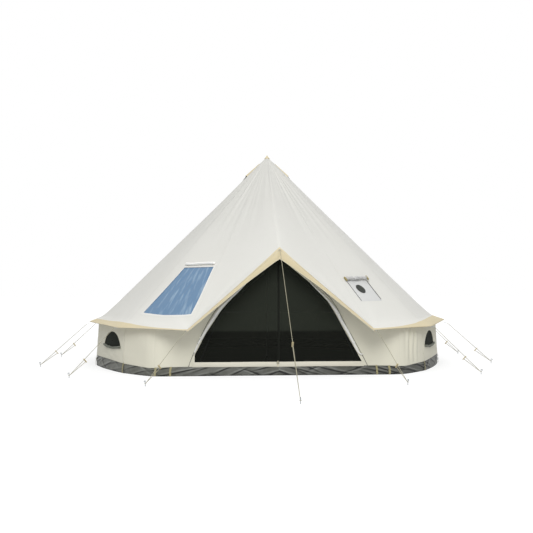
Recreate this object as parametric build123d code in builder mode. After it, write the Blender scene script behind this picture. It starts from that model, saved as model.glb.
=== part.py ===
"""A canvas bell tent: a gored roof on one centre pole, low walls, a dormer over a zipped mesh
door, a sewn-in groundsheet, and the guy ropes and pegs that stretch it.

Bearings are degrees about the centre pole, 0 at the door (-Y) and growing towards +X.
"""
import os
from math import atan2, cos, degrees, floor, radians, sin, tan

from build123d import *

os.makedirs("parts", exist_ok=True)

# ---- driving dimensions, in millimetres -------------------------------------------------
# plan and roof
gore_count = 14
base_radius = 2500        # wall corners at the ground
wall_lean = 0.06          # how far the wall's corners lean in for each unit of height
eave_overhang = 94        # eave corners, past the wall's foot
eave_height = 583
valance_width = 170       # level width of the flared valance, along a seam
valance_rise = 90
apex_height = 3045        # where the roof planes would meet
crown_radius = 30         # the hole at the top of the roof, under the cap
cloth_drop = 7            # the roof cloth's thickness, measured straight down
wall_cloth = 5
# groundsheet
floor_thickness = 4
tub_height = 115          # how far the groundsheet turns up the wall
# dormer over the door
front_corner_turns = 1.5  # bearing of the front wall's corners, in gores
ridge_overhang = 122      # the dormer's peak, in front of the wall's foot
ridge_height = 1555
hem_peak_depth = 110
hem_end_depth = 17
hem_thickness = 6
# door opening, measured in the front wall's own plane
door_foot_half = 1045
door_knee_half = 720
door_knee_height = 790
door_shoulder_half = 620
door_shoulder_height = 930
door_header = 260         # the wall left between the opening's peak and the roof
sill_height = 168
mesh_thickness = 3
zip_width = 24
flap_roll_radius = 20
flap_roll_inset = 60      # clear length at each end of a rolled flap
flap_roll_reach = 0.6     # how much of the door's upper edge the roll follows
# windows in the wall
vent_width = 540
vent_rise = 207
vent_sill_height = 312
vent_shift = 180          # from the panel's middle, towards the door or the back
vent_roll_radius = 17
# skylight in the left shoulder gore, in plan
skylight_eave_gap = 98    # from its bottom edge to the valance
skylight_plan_length = 585
skylight_front_margin = 86       # from the seam next to the door
skylight_rear_margin_top = 203   # from the seam further back
skylight_rear_margin_bottom = 147
skylight_border = 26
skylight_roll_radius = 20
# stove jack on the right shoulder gore, in plan
stove_eave_gap = 243
stove_plan_length = 270
stove_front_margin = 77
stove_width = 415
stove_disc_radius = 75
stove_disc_drop = 118     # from the panel's top edge
stove_disc_share = 0.4    # place of the disc across the panel, from the door's side
stove_roll_radius = 26
patch_thickness = 3
toggle_radius = 12
toggle_length = 70
# peak
cap_radius = 50
cap_thickness = 14        # over the roof's apex
cap_shoulder_clear = 11   # over the dormer's ridge, where the cap turns down into its skirt
cap_round = 6
cap_skirt = 12            # how far the skirt reaches below the seams
hood_top = 112            # both ends of the vent hoods, from the pole
hood_bottom = 330
hood_rise = 38
hood_top_width = 46
hood_bottom_width = 134
hood_cloth = 4
# poles
pole_radius = 16
pole_joint_height = 1500
pole_sleeve_wall = 3
pole_sleeve_length = 160
foot_flange = 14
foot_wall = 4
foot_height = 55
frame_tube_radius = 9.5
frame_gap = 14            # from the front wall's inner face to the tube
elbow_wall = 3
elbow_length = 70
# guys
rope_radius = 3
bar_sides = 8             # ropes, pegs and slider holes are drawn with a few flat sides
guy_reach = 656           # level distance from an eave corner to its peg
door_guy_reach = 2123
peg_radius = 4
peg_height = 62
peg_hook = 16
rope_catch_height = 34    # how high a guy loops round its peg
ring_width = 38           # the triangular rings that the guys pull on
ring_length = 34
ring_wire = 4
slider_length = 62
slider_width = 20
slider_thickness = 9
slider_share = 0.68       # place of the slider along its guy
slider_hole_gap = 34
slider_clearance = 0.9
rope_start_gap = 2.5
left_front_peg_turn = -3  # the two pegs beside the door, off their seams, in degrees
right_front_peg_turn = -1

# ---- values worked out from them --------------------------------------------------------
gore = 360 / gore_count
flat = cos(radians(gore / 2))            # distance of a facet's middle over its corner's
front_bearing = front_corner_turns * gore
eave_radius = base_radius + eave_overhang
break_radius = eave_radius - valance_width      # where the roof flares into the valance
break_height = eave_height + valance_rise
front_y = base_radius * cos(radians(front_bearing))
ridge_reach = front_y + ridge_overhang
front_lean = wall_lean * cos(radians(front_bearing))
roof_fall = (apex_height - break_height) / break_radius
ridge_fall = (apex_height - ridge_height) / ridge_reach
front_roof = (apex_height - cloth_drop - ridge_fall * front_y) / (1 - ridge_fall * front_lean)
door_peak_height = front_roof - door_header
cap_top = apex_height + cap_thickness
cap_shoulder = apex_height - ridge_fall * cap_radius + cap_shoulder_clear
cap_rim = apex_height - roof_fall * cap_radius - cap_skirt
peg_circle = eave_radius + guy_reach
door_peg_reach = ridge_reach + door_guy_reach
sky = apex_height + 100                  # above everything


def along(bearing):
    """The level direction away from the pole."""
    return Vector(sin(radians(bearing)), -cos(radians(bearing)), 0)


def across(bearing):
    """The level direction of growing bearings."""
    return Vector(cos(radians(bearing)), sin(radians(bearing)), 0)


def at(radius, bearing, height):
    """The point at a distance from the pole, a bearing and a height."""
    return along(bearing) * radius + Vector(0, 0, height)


def roof_height(radius):
    """The height of the roof's seams over the plan, outside face."""
    if radius <= break_radius:
        return apex_height - roof_fall * radius
    share = (radius - break_radius) / (eave_radius - break_radius)
    return break_height + (eave_height - break_height) * share


def facet(section, start, end):
    """A straight facet between two bearings. Its section, with the distance from the pole across
    and the height up, is extruded sideways and mitred on the seam at each end."""
    middle = (start + end) / 2
    with BuildPart() as piece:
        with BuildSketch(Plane((0, 0, 0), x_dir=along(middle), z_dir=-across(middle))):
            with BuildLine():
                Polyline(*section, close=True)
            make_face()
        extrude(amount=base_radius, both=True)
        split(bisect_by=Plane((0, 0, 0), z_dir=across(start)), keep=Keep.TOP)
        split(bisect_by=Plane((0, 0, 0), z_dir=across(end)), keep=Keep.BOTTOM)
    return piece.part


def write(builder, name):
    """Label a finished piece and write its file."""
    builder.part.label = name
    export_step(builder.part, f"parts/{name}.step")


# ---- roof gores and the flared eave -----------------------------------------------------
crown_flat = crown_radius * flat
break_flat = break_radius * flat
eave_flat = eave_radius * flat
gore_section = [
    (crown_flat, roof_height(crown_radius)),
    (break_flat, break_height),
    (break_flat, break_height - cloth_drop),
    (crown_flat, roof_height(crown_radius) - cloth_drop),
]
valance_section = [
    (break_flat, break_height),
    (eave_flat, eave_height),
    (eave_flat, eave_height - cloth_drop),
    (break_flat, break_height - cloth_drop),
]
roof_slope = degrees(atan2(roof_height(crown_radius) - break_height, break_flat - crown_flat))


def gore_plane(bearing, from_pole):
    """The outer face of a gore, X along growing bearings and Y up the slope."""
    height = apex_height - roof_fall / flat * from_pole
    outward = along(bearing) * sin(radians(roof_slope)) + Vector(0, 0, cos(radians(roof_slope)))
    return Plane(at(from_pole, bearing, height), x_dir=across(bearing), z_dir=outward)


def up_slope(from_pole, reference):
    """How far up a gore's slope one distance from the pole lies from another."""
    return (reference - from_pole) / cos(radians(roof_slope))


left_gore = gore_count - 2               # the skylight's gore
left_middle = -1.5 * gore
right_middle = 1.5 * gore
skylight_bottom = break_flat - skylight_eave_gap
skylight_top = skylight_bottom - skylight_plan_length
stove_bottom = break_flat - stove_eave_gap
stove_top = stove_bottom - stove_plan_length


def gore_half(from_pole):
    """Half a gore's width at a distance from the pole."""
    return from_pole * tan(radians(gore / 2))


skylight_outline = [
    (skylight_rear_margin_bottom - gore_half(skylight_bottom), up_slope(skylight_bottom, skylight_top)),
    (gore_half(skylight_bottom) - skylight_front_margin, up_slope(skylight_bottom, skylight_top)),
    (gore_half(skylight_top) - skylight_front_margin, 0),
    (skylight_rear_margin_top - gore_half(skylight_top), 0),
]

for number in range(1, gore_count - 1):
    with BuildPart() as roof_panel:
        add(facet(gore_section, number * gore, (number + 1) * gore))
        if number == left_gore:
            with BuildSketch(gore_plane(left_middle, skylight_top)):
                with BuildLine():
                    Polyline(*skylight_outline, close=True)
                make_face()
            extrude(amount=-2 * cloth_drop, mode=Mode.SUBTRACT)
    write(roof_panel, f"roof_panel_{number:02d}")

for name, first in (("eave_valance_a", 1), ("eave_valance_b", 2)):
    bands = [facet(valance_section, n * gore, (n + 1) * gore) for n in range(first, gore_count - 1, 2)]
    with BuildPart() as eave_valance:
        add(bands)
    write(eave_valance, name)


# ---- dormer over the door ---------------------------------------------------------------
def prism(corners, low, high):
    """A vertical prism on a plan outline."""
    with BuildPart() as piece:
        with BuildSketch(Plane.XY.offset(low)):
            with BuildLine():
                Polyline(*[(c.X, c.Y) for c in corners], close=True)
            make_face()
        extrude(amount=high - low)
    return piece.part


def lowered(plane, drop):
    """The same plane, further down."""
    return Plane(plane.origin - Vector(0, 0, drop), x_dir=plane.x_dir, z_dir=plane.z_dir)


def roof_sheet(corners, plane):
    """A sheet of roof cloth with its outer face on a sloping plane."""
    with BuildPart() as piece:
        add(prism(corners, 0, sky))
        split(bisect_by=plane, keep=Keep.BOTTOM)
        split(bisect_by=lowered(plane, cloth_drop), keep=Keep.TOP)
    return piece.part


def half_prism(corners, plane, low, keep):
    """What lies over or under a sloping plane within a plan outline."""
    with BuildPart() as piece:
        add(prism(corners, low, sky))
        split(bisect_by=plane, keep=keep)
    return piece.part


def plane_through(a, b, c):
    """The plane through three points, facing up."""
    normal = (b - a).cross(c - a).normalized()
    return Plane(a, x_dir=(b - a).normalized(), z_dir=normal if normal.Z > 0 else -normal)


apex = Vector(0, 0, apex_height)
ridge = at(ridge_reach, 0, ridge_height)


def dormer_planes(side):
    """The corners and the two planes of one side of the dormer, side being -1 or 1."""
    knee = at(break_radius, side * gore, break_height)
    corner = at(eave_radius, side * gore, eave_height)
    return knee, corner, plane_through(apex, ridge, knee), plane_through(ridge, knee, corner)


def over_dormer(side):
    """All that lies over the underside of one side of the dormer."""
    knee, corner, upper, lower = dormer_planes(side)
    return [
        half_prism([Vector(0, 0, 0), ridge, knee], lowered(upper, cloth_drop), 0, Keep.TOP),
        half_prism([ridge, corner, knee], lowered(lower, cloth_drop), 0, Keep.TOP),
    ]


def over_gore(number):
    """All that lies over the underside of one gore and its valance."""
    section = [
        (crown_flat, roof_height(crown_radius) - cloth_drop),
        (break_flat, break_height - cloth_drop),
        (eave_flat, eave_height - cloth_drop),
        (eave_flat, apex_height), (crown_flat, apex_height),
    ]
    return facet(section, number * gore, (number + 1) * gore)


for name, side, neighbour in (("left", -1, -2), ("right", 1, 1)):
    knee, corner, upper, lower = dormer_planes(side)
    crown_side = at(crown_radius, side * gore, 0)
    crown_front = at(crown_radius, 0, 0)
    sheets = [
        roof_sheet([crown_front, ridge, knee, crown_side], upper),
        roof_sheet([ridge, corner, knee], lower),
    ]
    with BuildPart() as dormer:
        add(sheets)
    write(dormer, f"dormer_roof_{name}")

    # the tan hem hangs from the dormer's front edge, deepest at the peak
    hem_top = ridge - Vector(0, 0, cloth_drop)
    hem_end = corner - Vector(0, 0, cloth_drop)
    edge = Vector(hem_end.X - hem_top.X, hem_end.Y - hem_top.Y, 0)
    run = edge.length
    hem_plane = Plane(hem_top, x_dir=edge.normalized(), z_dir=edge.cross(Vector(0, 0, 1)).normalized())
    fall = hem_top.Z - hem_end.Z
    with BuildPart() as canopy_hem:
        with BuildSketch(hem_plane):
            with BuildLine():
                Polyline((0, 0), (run, -fall), (run, -fall - hem_end_depth), (0, -hem_peak_depth), close=True)
            make_face()
        extrude(amount=-side * hem_thickness)
        split(bisect_by=Plane((0, 0, 0), z_dir=(side, 0, 0)), keep=Keep.TOP)
        for cutter in (*over_dormer(side), over_gore(neighbour)):
            add(cutter, mode=Mode.SUBTRACT)
    write(canopy_hem, f"canopy_hem_{name}")


# ---- walls ------------------------------------------------------------------------------
def wall_section(low, high, share):
    """The wall's section between two heights, share being the facet's middle over its corner."""
    def out(height):
        return (base_radius - wall_lean * height) * share
    return [
        (out(low), low), (out(high), high),
        (out(high) - wall_cloth, high), (out(low) - wall_cloth, low),
    ]


wall_reach = 900          # higher than any side wall, before the roof trims it


def side_wall(start_turns, end_turns):
    """A wall panel between two bearings given in gores, from the tub up to the roof."""
    share = cos(radians((end_turns - start_turns) * gore / 2))
    panel = facet(wall_section(tub_height, wall_reach, share), start_turns * gore, end_turns * gore)
    return panel - over_gore(floor(start_turns))


def vent_plane(turns, shift):
    """The wall's outer face at a vent's sill, X along growing bearings and Y up the wall."""
    bearing = turns * gore
    outward = (along(bearing) + Vector(0, 0, wall_lean * flat)).normalized()
    sill = at((base_radius - wall_lean * vent_sill_height) * flat, bearing, vent_sill_height)
    return Plane(sill + across(bearing) * shift, x_dir=across(bearing), z_dir=outward)


# the vent's outline: a flat sill under an arc
with BuildSketch() as half_moon:
    with BuildLine():
        ThreePointArc((-vent_width / 2, 0), (0, vent_rise), (vent_width / 2, 0))
        Line((vent_width / 2, 0), (-vent_width / 2, 0))
    make_face()


front_vents = [vent_plane(2.5, -vent_shift), vent_plane(-2.5, vent_shift)]
rear_vents = [vent_plane(4.5, vent_shift), vent_plane(-4.5, -vent_shift)]
wall_pairs = {
    "front_shoulder_walls": [(front_corner_turns, 2), (-2, -front_corner_turns)],
    "front_vent_walls": [(2, 3), (-3, -2)],
    "side_walls": [(3, 4), (-4, -3)],
    "rear_vent_walls": [(4, 5), (-5, -4)],
    "rear_side_walls": [(5, 6), (-6, -5)],
    "rear_wall_right": [(6, 7)],
    "rear_wall_left": [(-7, -6)],
}
for name, spans in wall_pairs.items():
    panels = [side_wall(*span) for span in spans]
    with BuildPart() as wall:
        add(panels)
        if "vent" in name:
            for plane in front_vents if "front" in name else rear_vents:
                with BuildSketch(plane):
                    add(half_moon.sketch)
                extrude(amount=-2 * wall_cloth, mode=Mode.SUBTRACT)
    write(wall, name)

with BuildPart() as vent_mesh:
    for plane in front_vents + rear_vents:
        with BuildSketch(plane.offset(-(wall_cloth - mesh_thickness) / 2)):
            add(half_moon.sketch)
        extrude(amount=-mesh_thickness)
write(vent_mesh, "vent_mesh")

with BuildPart() as vent_rolls:
    for plane in front_vents + rear_vents:
        end = plane.from_local_coords((-vent_width / 2, 0, 0))
        with BuildSketch(Plane(end, x_dir=plane.y_dir, z_dir=plane.x_dir)):
            with Locations((-vent_roll_radius, vent_roll_radius)):
                Circle(vent_roll_radius)
        extrude(amount=vent_width)
write(vent_rolls, "vent_flap_rolls")


# ---- front wall and door, drawn in the front wall's outer face --------------------------
front_up = Vector(0, front_lean, 1).normalized()
front_out = Vector(1, 0, 0).cross(front_up)
front_face = Plane((0, -front_y, 0), x_dir=(1, 0, 0), z_dir=front_out)
tub_top = Plane.XY.offset(tub_height)
below_tub_top = tub_height - 4 * wall_cloth   # outlines start here and are trimmed on the tub
peak_slope = (door_peak_height - door_shoulder_height) / door_shoulder_half


def door_edge(height):
    """Half the door's width at a height below its knees."""
    share = (height - sill_height) / (door_knee_height - sill_height)
    return door_foot_half + (door_knee_half - door_foot_half) * share


roof_cutters = [piece for side in (-1, 1) for piece in over_dormer(side)]
roof_cutters += [over_gore(1), over_gore(-2)]
front_reach = 2200

for name, side in (("left", -1), ("right", 1)):
    with BuildPart() as front_wall:
        with BuildSketch(front_face):
            with BuildLine():
                Polyline(
                    (side * door_edge(below_tub_top), below_tub_top),
                    (side * door_knee_half, door_knee_height),
                    (side * door_shoulder_half, door_shoulder_height),
                    (0, door_peak_height),
                    (0, front_reach),
                    (side * base_radius, front_reach),
                    (side * base_radius, below_tub_top),
                    close=True,
                )
            make_face()
        extrude(amount=-wall_cloth)
        split(bisect_by=tub_top, keep=Keep.TOP)
        split(bisect_by=Plane((0, 0, 0), z_dir=-side * across(side * front_bearing)), keep=Keep.TOP)
        for cutter in roof_cutters:
            add(cutter, mode=Mode.SUBTRACT)
    write(front_wall, f"front_wall_{name}")

    with BuildPart() as door_mesh:
        with BuildSketch(front_face.offset(-(wall_cloth - mesh_thickness) / 2)):
            with BuildLine():
                Polyline(
                    (side * zip_width / 2, sill_height),
                    (side * door_foot_half, sill_height),
                    (side * door_knee_half, door_knee_height),
                    (side * door_shoulder_half, door_shoulder_height),
                    (side * zip_width / 2, door_peak_height - zip_width / 2 * peak_slope),
                    close=True,
                )
            make_face()
        extrude(amount=-mesh_thickness)
    write(door_mesh, f"door_mesh_{name}")

with BuildPart() as door_zip:
    with BuildSketch(front_face):
        with BuildLine():
            Polyline(
                (-zip_width / 2, sill_height), (zip_width / 2, sill_height),
                (zip_width / 2, door_peak_height - zip_width / 2 * peak_slope), (0, door_peak_height),
                (-zip_width / 2, door_peak_height - zip_width / 2 * peak_slope),
                close=True,
            )
        make_face()
    extrude(amount=-wall_cloth)
write(door_zip, "door_zip")

with BuildPart() as door_sill:
    with BuildSketch(front_face):
        with BuildLine():
            Polyline(
                (-door_edge(below_tub_top), below_tub_top), (door_edge(below_tub_top), below_tub_top),
                (door_foot_half, sill_height), (-door_foot_half, sill_height),
                close=True,
            )
        make_face()
    extrude(amount=-wall_cloth)
    split(bisect_by=tub_top, keep=Keep.TOP)
write(door_sill, "door_sill")

# the canvas door, rolled up along both sides of the mesh
with BuildPart() as door_rolls:
    for side in (-1, 1):
        bends = [(door_foot_half, sill_height), (door_knee_half, door_knee_height),
                 (door_shoulder_half, door_shoulder_height), (0, door_peak_height)]
        bends = [front_face.from_local_coords((side * x, y, flap_roll_radius)) for x, y in bends]
        bends[0] += (bends[1] - bends[0]).normalized() * flap_roll_inset
        bends[3] = bends[2] + (bends[3] - bends[2]) * flap_roll_reach
        with BuildLine():
            Polyline(*bends)
        with BuildSketch(Plane(bends[0], z_dir=bends[1] - bends[0])):
            Circle(flap_roll_radius)
        sweep(transition=Transition.RIGHT)
write(door_rolls, "door_flap_rolls")

# ---- groundsheet ------------------------------------------------------------------------
base_bearings = [front_corner_turns]
base_bearings += [2 + n for n in range(gore_count - 3)]
base_bearings += [gore_count - front_corner_turns]
base_corners = [at(base_radius, turns * gore, 0) for turns in base_bearings]

with BuildPart() as groundsheet_floor:
    with BuildSketch(Plane.XY):
        with BuildLine():
            Polyline(*[(c.X, c.Y) for c in base_corners], close=True)
        make_face()
    extrude(amount=floor_thickness)
write(groundsheet_floor, "groundsheet_floor")

tub_sides = list(zip(base_bearings[:-1], base_bearings[1:]))
for name, first in (("groundsheet_tub_a", 0), ("groundsheet_tub_b", 1)):
    sides = []
    for start, end in tub_sides[first::2]:
        share = cos(radians((end - start) * gore / 2))
        sides.append(facet(wall_section(floor_thickness, tub_height, share), start * gore, end * gore))
    with BuildPart() as tub:
        add(sides)
    write(tub, name)

front_share = cos(radians(front_bearing))
with BuildPart() as tub_front:
    add(facet(wall_section(floor_thickness, tub_height, front_share), -front_bearing, front_bearing))
write(tub_front, "groundsheet_tub_front")

# ---- skylight and stove jack on the shoulder gores --------------------------------------
film_plane = gore_plane(left_middle, skylight_top)
cloth_thickness = cloth_drop * cos(radians(roof_slope))

with BuildPart() as skylight_film:
    with BuildSketch(film_plane.offset(-(cloth_thickness - patch_thickness) / 2)):
        with BuildLine():
            Polyline(*skylight_outline, close=True)
        make_face()
    extrude(amount=-patch_thickness)
write(skylight_film, "skylight_film")

with BuildPart() as skylight_frame:
    with BuildSketch(film_plane):
        with BuildLine():
            Polyline(*skylight_outline, close=True)
        frame_hole = make_face()
        offset(amount=skylight_border, kind=Kind.INTERSECTION)
        add(frame_hole, mode=Mode.SUBTRACT)
    extrude(amount=patch_thickness)
write(skylight_frame, "skylight_border")

with BuildPart() as skylight_roll:
    roll_start = film_plane.from_local_coords(
        (skylight_outline[3][0], skylight_border + skylight_roll_radius, skylight_roll_radius))
    with BuildSketch(Plane(roll_start, z_dir=across(left_middle))):
        Circle(skylight_roll_radius)
    extrude(amount=skylight_outline[2][0] - skylight_outline[3][0])
write(skylight_roll, "skylight_cover_roll")

stove_plane = gore_plane(right_middle, stove_top)
stove_length = up_slope(stove_top, stove_bottom)
stove_front = stove_front_margin - gore_half(stove_top)
stove_rear = stove_front + stove_width
stove_middle = (stove_front + stove_rear) / 2
stove_disc_offset = stove_front + stove_disc_share * stove_width
disc_down = up_slope(stove_top, stove_top + stove_disc_drop)

with BuildPart() as stove_panel:
    with BuildSketch(stove_plane):
        with Locations((stove_middle, -stove_length / 2)):
            Rectangle(stove_width, stove_length)
    extrude(amount=patch_thickness)
write(stove_panel, "stove_jack_panel")

with BuildPart() as stove_disc:
    with BuildSketch(stove_plane.offset(patch_thickness)):
        with Locations((stove_disc_offset, -disc_down)):
            Circle(stove_disc_radius)
    extrude(amount=patch_thickness)
write(stove_disc, "stove_jack_disc")

stove_roll_place = (stove_front, stove_roll_radius, stove_roll_radius)
with BuildPart() as stove_roll:
    with BuildSketch(Plane(stove_plane.from_local_coords(stove_roll_place), z_dir=across(right_middle))):
        Circle(stove_roll_radius)
    extrude(amount=stove_width)
write(stove_roll, "stove_flap_roll")

with BuildPart() as toggles:
    for offset_along in (stove_front, stove_rear):
        outside = toggle_radius if offset_along == stove_rear else -toggle_radius
        foot = stove_plane.from_local_coords((offset_along + outside, -toggle_length / 2, toggle_radius))
        with BuildSketch(Plane(foot, z_dir=stove_plane.y_dir)):
            Circle(toggle_radius)
        extrude(amount=toggle_length)
write(toggles, "stove_flap_toggles")

# ---- peak -------------------------------------------------------------------------------
crown_core = []
core_flat = 2 * cap_radius * flat
core_low = roof_height(3 * cap_radius)
for number in range(1, gore_count - 1):
    section = [
        (0, apex_height), (core_flat, roof_height(2 * cap_radius)), (core_flat, core_low), (0, core_low),
    ]
    crown_core.append(facet(section, number * gore, (number + 1) * gore))
for side in (-1, 1):
    knee, corner, upper, lower = dormer_planes(side)
    reach = [Vector(0, 0, 0), at(2 * cap_radius, 0, 0), at(2 * cap_radius, side * gore, 0)]
    crown_core.append(half_prism(reach, upper, core_low, Keep.BOTTOM))
cap_section = [
    (0, cap_top), (cap_radius - cap_round, cap_shoulder), (cap_radius, cap_shoulder - cap_round),
    (cap_radius, cap_rim), (0, cap_rim),
]
with BuildPart() as peak_cap:
    add([facet(cap_section, number * gore, (number + 1) * gore) for number in range(gore_count)])
    for core in crown_core:
        add(core, mode=Mode.SUBTRACT)
write(peak_cap, "peak_cap")

hood_length = up_slope(hood_top, hood_bottom)


def hood_block(bearing, inset):
    """The wedge of a hood, open end down the slope, shrunk by an inset all round."""
    plane = gore_plane(bearing, hood_top)
    top_half = hood_top_width / 2 - inset
    bottom_half = hood_bottom_width / 2 - inset
    with BuildPart() as block:
        with BuildSketch(plane):
            with BuildLine():
                Polyline(
                    (-bottom_half, -hood_length), (bottom_half, -hood_length),
                    (top_half, 0), (-top_half, 0),
                    close=True,
                )
            make_face()
        extrude(amount=hood_rise)
        ramp_start = plane.from_local_coords((0, 0, hood_cloth - inset))
        ramp_end = plane.from_local_coords((0, -hood_length, hood_rise - inset))
        ramp = (ramp_end - ramp_start).normalized()
        split(bisect_by=Plane(ramp_start, x_dir=plane.x_dir, z_dir=plane.x_dir.cross(ramp)), keep=Keep.TOP)
    return block.part


hoods_outer = [hood_block(bearing, 0) for bearing in (-90, 90)]
hoods_inner = [hood_block(bearing, hood_cloth) for bearing in (-90, 90)]
with BuildPart() as hoods:
    add(hoods_outer)
    add(hoods_inner, mode=Mode.SUBTRACT)
write(hoods, "peak_vent_hoods")

# ---- poles ------------------------------------------------------------------------------
pole_foot_seat = floor_thickness + foot_height / 3
head_height = apex_height - cloth_drop - roof_fall / flat * crown_flat

with BuildPart() as centre_pole:
    with BuildSketch(Plane.XY.offset(pole_foot_seat)):
        Circle(pole_radius)
    extrude(amount=head_height - 2 * pole_radius - pole_foot_seat)
write(centre_pole, "centre_pole")

with BuildPart() as pole_fittings:
    # rubber foot: a cup round the pole's lower end
    with BuildSketch(Plane.XZ):
        with BuildLine():
            Polyline(
                (0, floor_thickness), (pole_radius + foot_flange, floor_thickness),
                (pole_radius + foot_flange, floor_thickness + foot_height / 3),
                (pole_radius + foot_wall, floor_thickness + foot_height),
                (pole_radius, floor_thickness + foot_height), (pole_radius, pole_foot_seat),
                (0, pole_foot_seat),
                close=True,
            )
        make_face()
    revolve(axis=Axis.Z)
    # sleeve over the joint between the pole's two halves
    with BuildSketch(Plane.XY.offset(pole_joint_height - pole_sleeve_length / 2)):
        Circle(pole_radius + pole_sleeve_wall)
        Circle(pole_radius, mode=Mode.SUBTRACT)
    extrude(amount=pole_sleeve_length)
    # head: a cone under the crown of the roof with a spike through it
    with BuildSketch(Plane.XZ):
        with BuildLine():
            Polyline(
                (0, head_height - 2 * pole_radius), (pole_radius, head_height - 2 * pole_radius),
                (crown_flat, head_height - pole_radius / 2), (crown_flat, head_height),
                (pole_radius / 2, apex_height - cloth_drop - roof_fall / flat * pole_radius / 2),
                (0, apex_height - cloth_drop - roof_fall / flat * pole_radius / 2),
                close=True,
            )
        make_face()
    revolve(axis=Axis.Z)
write(pole_fittings, "pole_fittings")


def frame_point(half, height):
    """A point on the door frame's centre line, behind the front wall."""
    return front_face.from_local_coords((half, height, -wall_cloth - frame_gap - frame_tube_radius))


frame_foot = frame_point(door_foot_half, 0)
frame_feet = [Vector(side * frame_foot.X, frame_foot.Y, floor_thickness) for side in (-1, 1)]
frame_knees = [frame_point(side * door_knee_half, door_knee_height) for side in (-1, 1)]
frame_peak = frame_point(0, door_peak_height + frame_tube_radius)


def tube(start, end, radius, inset_start=0, inset_end=0):
    """A straight round bar between two points, shortened at its ends."""
    line = end - start
    direction = line.normalized()
    with BuildPart() as bar:
        with BuildSketch(Plane(start + direction * inset_start, z_dir=direction)):
            Circle(radius)
        extrude(amount=line.length - inset_start - inset_end)
    return bar.part


foot_spare = -3 * frame_tube_radius
legs = [tube(f, k, frame_tube_radius, foot_spare, elbow_length) for f, k in zip(frame_feet, frame_knees)]
rafters = [tube(k, frame_peak, frame_tube_radius, elbow_length, elbow_length) for k in frame_knees]
with BuildPart() as frame_legs:
    add(legs)
    split(bisect_by=Plane.XY.offset(floor_thickness), keep=Keep.TOP)
write(frame_legs, "door_frame_legs")
with BuildPart() as frame_rafters:
    add(rafters)
write(frame_rafters, "door_frame_rafters")


# ---- elbows of the door frame -----------------------------------------------------------
def elbow(middle, towards_a, towards_b):
    """A mitred sleeve over the joint of two tubes."""
    a = middle + (towards_a - middle).normalized() * elbow_length
    b = middle + (towards_b - middle).normalized() * elbow_length
    with BuildPart() as sleeve:
        with BuildLine():
            Polyline(a, middle, b)
        with BuildSketch(Plane(a, z_dir=middle - a)):
            Circle(frame_tube_radius + elbow_wall)
        sweep(transition=Transition.RIGHT)
    return sleeve.part


elbows = [elbow(frame_knees[0], frame_feet[0], frame_peak), elbow(frame_knees[1], frame_feet[1], frame_peak)]
elbows.append(elbow(frame_peak, frame_knees[0], frame_knees[1]))
with BuildPart() as frame_elbows:
    add(elbows)
write(frame_elbows, "door_frame_elbows")

# ---- guys -------------------------------------------------------------------------------
peg_turns = {1: right_front_peg_turn, gore_count - 1: left_front_peg_turn}
guy_runs = []
ring_ways = []
for number in range(1, gore_count):
    eave_corner = at(eave_radius, number * gore, eave_height - cloth_drop / 2)
    guy_runs.append((eave_corner, at(peg_circle, number * gore + peg_turns.get(number, 0), 0)))
    ring_ways.append(along(number * gore))
dormer_corner = at(eave_radius, gore, 0)
notch = (-dormer_corner.Y - ridge_reach) / dormer_corner.X     # the dormer's edges run forward of its peak
ridge_tip = ridge - Vector(0, ring_wire * 2 * notch, cloth_drop / 2)
guy_runs.append((ridge_tip, at(door_peg_reach, 0, 0)))
ring_ways.append(along(0))


def level_out(run):
    """The level direction from a guy's ring to its peg."""
    return Vector(run[1].X - run[0].X, run[1].Y - run[0].Y, 0).normalized()


with BuildSketch() as ring_outline:
    with BuildLine():
        Polyline((0, -ring_width / 2), (ring_length, 0), (0, ring_width / 2), close=True)
    make_face()
    ring_hole = offset(ring_outline.sketch, -ring_wire, kind=Kind.INTERSECTION, mode=Mode.PRIVATE)
    chamfer(ring_outline.vertices(), ring_wire)
    add(ring_hole, mode=Mode.SUBTRACT)
with BuildPart() as eave_rings:
    for run, way in zip(guy_runs, ring_ways):
        low = run[0] - Vector(0, 0, ring_wire / 2)
        with BuildSketch(Plane(low, x_dir=way, z_dir=(0, 0, 1))):
            add(ring_outline.sketch)
        extrude(amount=ring_wire)
write(eave_rings, "guy_rings")


def strand(start, end):
    """A straight stretch of rope, drawn with a few flat sides."""
    with BuildPart() as piece:
        with BuildSketch(Plane(start, z_dir=end - start)):
            RegularPolygon(rope_radius, bar_sides)
        extrude(amount=(end - start).length)
    return piece.part


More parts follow.
